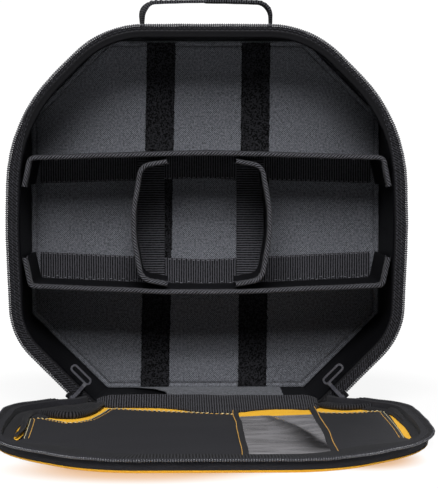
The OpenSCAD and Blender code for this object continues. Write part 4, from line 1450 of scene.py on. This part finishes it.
    def pockets(self) -> None:
        """Builds both pocket panels with their stitching, the window between them and its strips."""
        x0, x1 = self.window
        edge = [(0, 143.6), (102, 143.6), (200, 141.2), (225, 146), (250, 150)]
        self.pocket("left", -1.0, MOUTH_LEFT, edge, -150.0, x0)
        edge = [(0, 146.5), (92, 146.5), (150, 146), (200, 145.5), (225, 150)]
        self.pocket("right", 1.0, MOUTH_RIGHT, edge, x1, 152.0)
        mouth = [(x0, 93.0), (x1, 79.0)]
        film = self.panel("lid_window_film", mouth, [(0, 200)], x0, x1, "clear_vinyl", "lid_window")
        for k, (x, z0, z1, sign) in enumerate(((22.0, 58.0, 296.0, -1), (86.6, 44.0, 280.0, 1))):
            z = np.linspace(z0, z1, 90)
            bend = 0.5 * ripple(z, 0 * z, 60, 85 + k)
            rows = []
            for side, lift in ((1, 0.75), (-1, -0.3)):
                for t in np.linspace(-2.6, 2.6, 5)[::side]:
                    rows.append(np.stack([x + t + bend, self.top_y(x + t + bend, z) + lift, z], 1))
            name = f"lid_window_strip_{k}"
            self.shop.form(name, np.stack(rows, 1), "lid", "binding", finish="seam_tape")
            row = np.stack([x + sign * 2.1 + bend, self.top_y(x + bend, z) + 0.95, z], 1)
            self.shop.stitches(f"{name}_stitches", row, "lid", "binding", "yellow_thread")

    def pocket(self, side: str, sign: float, mouth: Marks, edge: Marks, a: float, b: float) -> None:
        """Builds one pocket and the two rows of stitches along its mouth and outer edge.

        Args:
            side: Left or right.
            sign: -1 on the left, 1 on the right.
            mouth: Points of its mouth in x and z.
            edge: Points of its outer edge, as height and distance from the middle.
            a: Its left edge.
            b: Its right edge.
        """
        name, node = f"lid_pocket_{side}_panel", f"lid_pocket_{side}"
        panel = self.panel(name, mouth, edge, a, b, "black_lining", node, "pocket_cloth")
        hem = [p for p in mouth if abs(p[0]) < 145]
        down = [(sign * d, z) for z, d in edge if 100 < z < 205]
        line = np.array(down[::-1] + hem if side == "left" else hem + down, float)
        path = square_to(line, np.gradient(line, axis=0))
        known = np.linspace(0, 1, len(line))
        for k, (inset, thread) in enumerate(((0.9, "pale_thread"), (4.2, "yellow_thread"))):
            x, z = (np.interp(np.linspace(0, 1, 160), known, part) for part in path.at(-inset).T)
            row = np.stack([x, self.top_y(x, z) + 0.1, z], 1)
            self.shop.stitches(f"lid_pocket_{side}_stitches_{k}", row, "lid", "black_lining", thread)


@dataclass
class Hinge:
    """The ribbed webbing band that covers the hinge."""

    shop: Workshop
    half_t: float = 0.7
    reach_in: float = 10.0
    end_reach: float = 8.0
    more_reach: float = 14.0
    tongue: float = 38.0
    rise: float = 5.7

    def build(self) -> None:
        """Builds the band over the hinge line, loose and longest near its middle."""
        s = self.shop.sizes
        half_w = s.box("hinge_binding")[1][0]
        lining_z = s.face_t + s.layer_gap + s.lining_t
        rows = []
        for at in np.linspace(-half_w, half_w, 76):
            ends = math.sqrt(min((half_w + 0.5 - abs(at)) / 12.0, 1.0))
            reach = self.end_reach + self.more_reach * ends + self.tongue * bell((at - 8) / 30)
            reach += self.more_reach * clamp((at - 20) / 60)
            crown = s.wall + 1.5 + self.rise * ends - 1.2 * bell((at - 60) / 60)
            points = [(self.reach_in, s.wall + 0.9), (s.hinge_y, crown), (-reach, lining_z + 0.9)]
            path = bent_path(points, [8.0]).dense(np.array([5] + [1] * 8 + [14]))
            wave = 0.45 * ripple(at, path.points[:, 0] * 2, 27, 91)
            rows.append(cut_at(at, np.vstack([path.at(self.half_t + wave), path.at(-self.half_t)[::-1]])))
        band = self.shop.form("hinge_band", np.stack(rows), "", "webbing", "hinge_binding")
        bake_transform(band)


# ---- Room, light and camera -------------------------------------------------------------------


@dataclass
class Studio:
    """A pale glossy floor, three soft lamps, a narrow beam and the camera that took the photograph."""

    camera_at: Spot = (-0.028, -1.7024, 0.2481)
    pitch_deg: float = 3.72
    yaw_deg: float = 1.31
    # Colour of the painted bounce light on the floor beside the lid.
    lens: float = 145.7
    painted_bounce_tint: str = "#e2bc9a"
    looked_at: Spot = (0.0, -0.05, 0.12)

    def floor(self) -> None:
        """Lays the floor: white to the camera but for shadow and reflection, with painted light in two
        orange-tinted spots beside the lid for the yellow cloth's bounce.
        """
        mesh = bpy.data.meshes.new("studio_floor")
        mesh.from_pydata([(-6, -6, 0), (6, -6, 0), (6, 6, 0), (-6, 6, 0)], [], [(0, 1, 2, 3)])
        ground = add_object("studio_floor", mesh)
        ground.location.z = -0.0004
        material = bpy.data.materials.new("polished_white_floor")
        tree = blank(material)
        place = add(tree, "ShaderNodeTexCoord").outputs["Object"]
        colour: Any = (1.0, 1.0, 1.0, 1.0)
        # Painted light: two spots beside the lid are tinted towards the bounce colour, standing in for light
        # thrown off the yellow cloth.
        painted_bounce_spots = (((-0.052, -0.322, 0.0), (0.1, 0.062, 1.0)), ((0.112, -0.287, 0.0), (0.043, 0.05, 1.0)))
        for middle, radii in painted_bounce_spots:
            apart = vectors(tree, "DIVIDE", vectors(tree, "SUBTRACT", place, middle), radii)
            fall = {0: vectors(tree, "LENGTH", apart), 1: 0.45, 2: 1.15, 3: 1.0, 4: 0.0}
            near = add(tree, "ShaderNodeMapRange", fall, interpolation_type="SMOOTHSTEP")
            colour = mix(tree, near.outputs[0], colour, tint(self.painted_bounce_tint))
        gloss = add(tree, "ShaderNodeBsdfPrincipled", {"Base Color": (0.8, 0.8, 0.8, 1.0), "Roughness": 0.2})
        glow = add(tree, "ShaderNodeEmission", {"Color": colour, "Strength": 1.12})
        seen = add(tree, "ShaderNodeLightPath").outputs["Is Camera Ray"]
        away = {0: vectors(tree, "LENGTH", place), 1: 0.22, 2: 0.42, 3: 0.8, 4: 1.0}
        share = maths(tree, "MULTIPLY", seen, add(tree, "ShaderNodeMapRange", away).outputs[0])
        both = add(tree, "ShaderNodeMixShader", {0: share, 1: gloss.outputs[0], 2: glow.outputs[0]})
        add(tree, "ShaderNodeOutputMaterial", {"Surface": both.outputs[0]})
        mesh.materials.append(material)

    def world(self) -> None:
        """Fills the room with faint light, and shows the camera a white background."""
        world = bpy.data.worlds.new("studio")
        bpy.context.scene.world = world
        tree = blank(world)
        seen = add(tree, "ShaderNodeLightPath").outputs["Is Camera Ray"]
        soft = add(tree, "ShaderNodeBackground", {"Color": (0.95, 0.97, 1.0, 1.0), "Strength": 0.05})
        white = add(tree, "ShaderNodeBackground", {"Color": (1.0, 1.0, 1.0, 1.0), "Strength": 1.05})
        both = add(tree, "ShaderNodeMixShader", {0: seen, 1: soft.outputs[0], 2: white.outputs[0]})
        add(tree, "ShaderNodeOutputWorld", {"Surface": both.outputs[0]})

    def lamp(self, name: str, kind: str, at: Spot, to: Spot, watts: float, **settings: float) -> None:
        """Hangs a lamp that looks at one place.

        Args:
            name: The lamp's name.
            kind: AREA for a square soft lamp, SPOT for a narrow beam.
            at: Where it hangs.
            to: Where it looks.
            watts: Its power.
            settings: Its other properties.
        """
        data = bpy.data.lights.new(name, kind)
        data.energy = watts
        for key, value in settings.items():
            setattr(data, key, value)
        lamp = add_object(name, data)
        lamp.location = at
        lamp.rotation_euler = (Vector(to) - Vector(at)).to_track_quat("-Z", "Y").to_euler()

    def camera(self) -> None:
        """Sets up the photograph's camera."""
        data = bpy.data.cameras.new("photograph")
        data.lens, data.sensor_width = self.lens, 36.0
        data.clip_start, data.clip_end = 0.05, 50.0
        camera = add_object("photograph", data)
        camera.location = self.camera_at
        camera.rotation_euler = Euler((math.radians(90 - self.pitch_deg), 0.0, math.radians(-self.yaw_deg)))
        bpy.context.scene.camera = camera

    def build(self) -> None:
        """Sets up floor, light and camera."""
        self.floor()
        self.world()
        self.lamp("key_above_front", "AREA", (-0.12, -1.54, 1.34), self.looked_at, 50.0, size=0.85)
        narrow = {"spot_size": math.radians(8.4), "spot_blend": 1.0, "shadow_soft_size": 0.08}
        self.lamp("low_cell_beam", "SPOT", (0.05, -1.3, 1.1), (0.0, 0.045, 0.03), 48.0, **narrow)
        self.lamp("fill_right", "AREA", (1.5, -1.2, 0.9), self.looked_at, 3.0, size=1.2)
        self.lamp("rim_behind", "AREA", (0.3, 1.4, 1.2), self.looked_at, 7.0, size=1.2)
        self.camera()
        bpy.context.scene.view_settings.view_transform = "Standard"


def main() -> None:
    """Sets up the studio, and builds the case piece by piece."""
    logging.basicConfig(level=logging.INFO, format="%(message)s")
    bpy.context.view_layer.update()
    sizes = CaseSizes()
    finishes = {finish.name: finish.build() for finish in FINISHES}
    beads = Beads("beads_along_line", dict.fromkeys(("Spacing", "Length", "Width"), "Float"))
    pile = Pile("loop_pile", {"Density": "Float", "Size": "Float", "Seed": "Int"})
    shop = Workshop(sizes, Outline(sizes), finishes, beads, pile)
    Studio().build()
    shell = Shell(shop)
    shell.wall()
    shell.back()
    shell.flap()
    shell.loops()
    Zip(shop, "shell", 8.6).build()
    Handle(shop).build()
    Hinge(shop).build()
    Panels(shop).build()
    lid = Lid(shop)
    lid.shell()
    lid.pockets()
    Zip(shop, "lid", lid.start_z).build()
    for item in frame["record"]["subparts"]:
        node = frame["nodes"][item["node"]]
        node.data.materials.clear()
        node.data.materials.append(finishes[item["material_slot"]])


if __name__ == "__main__":
    main()
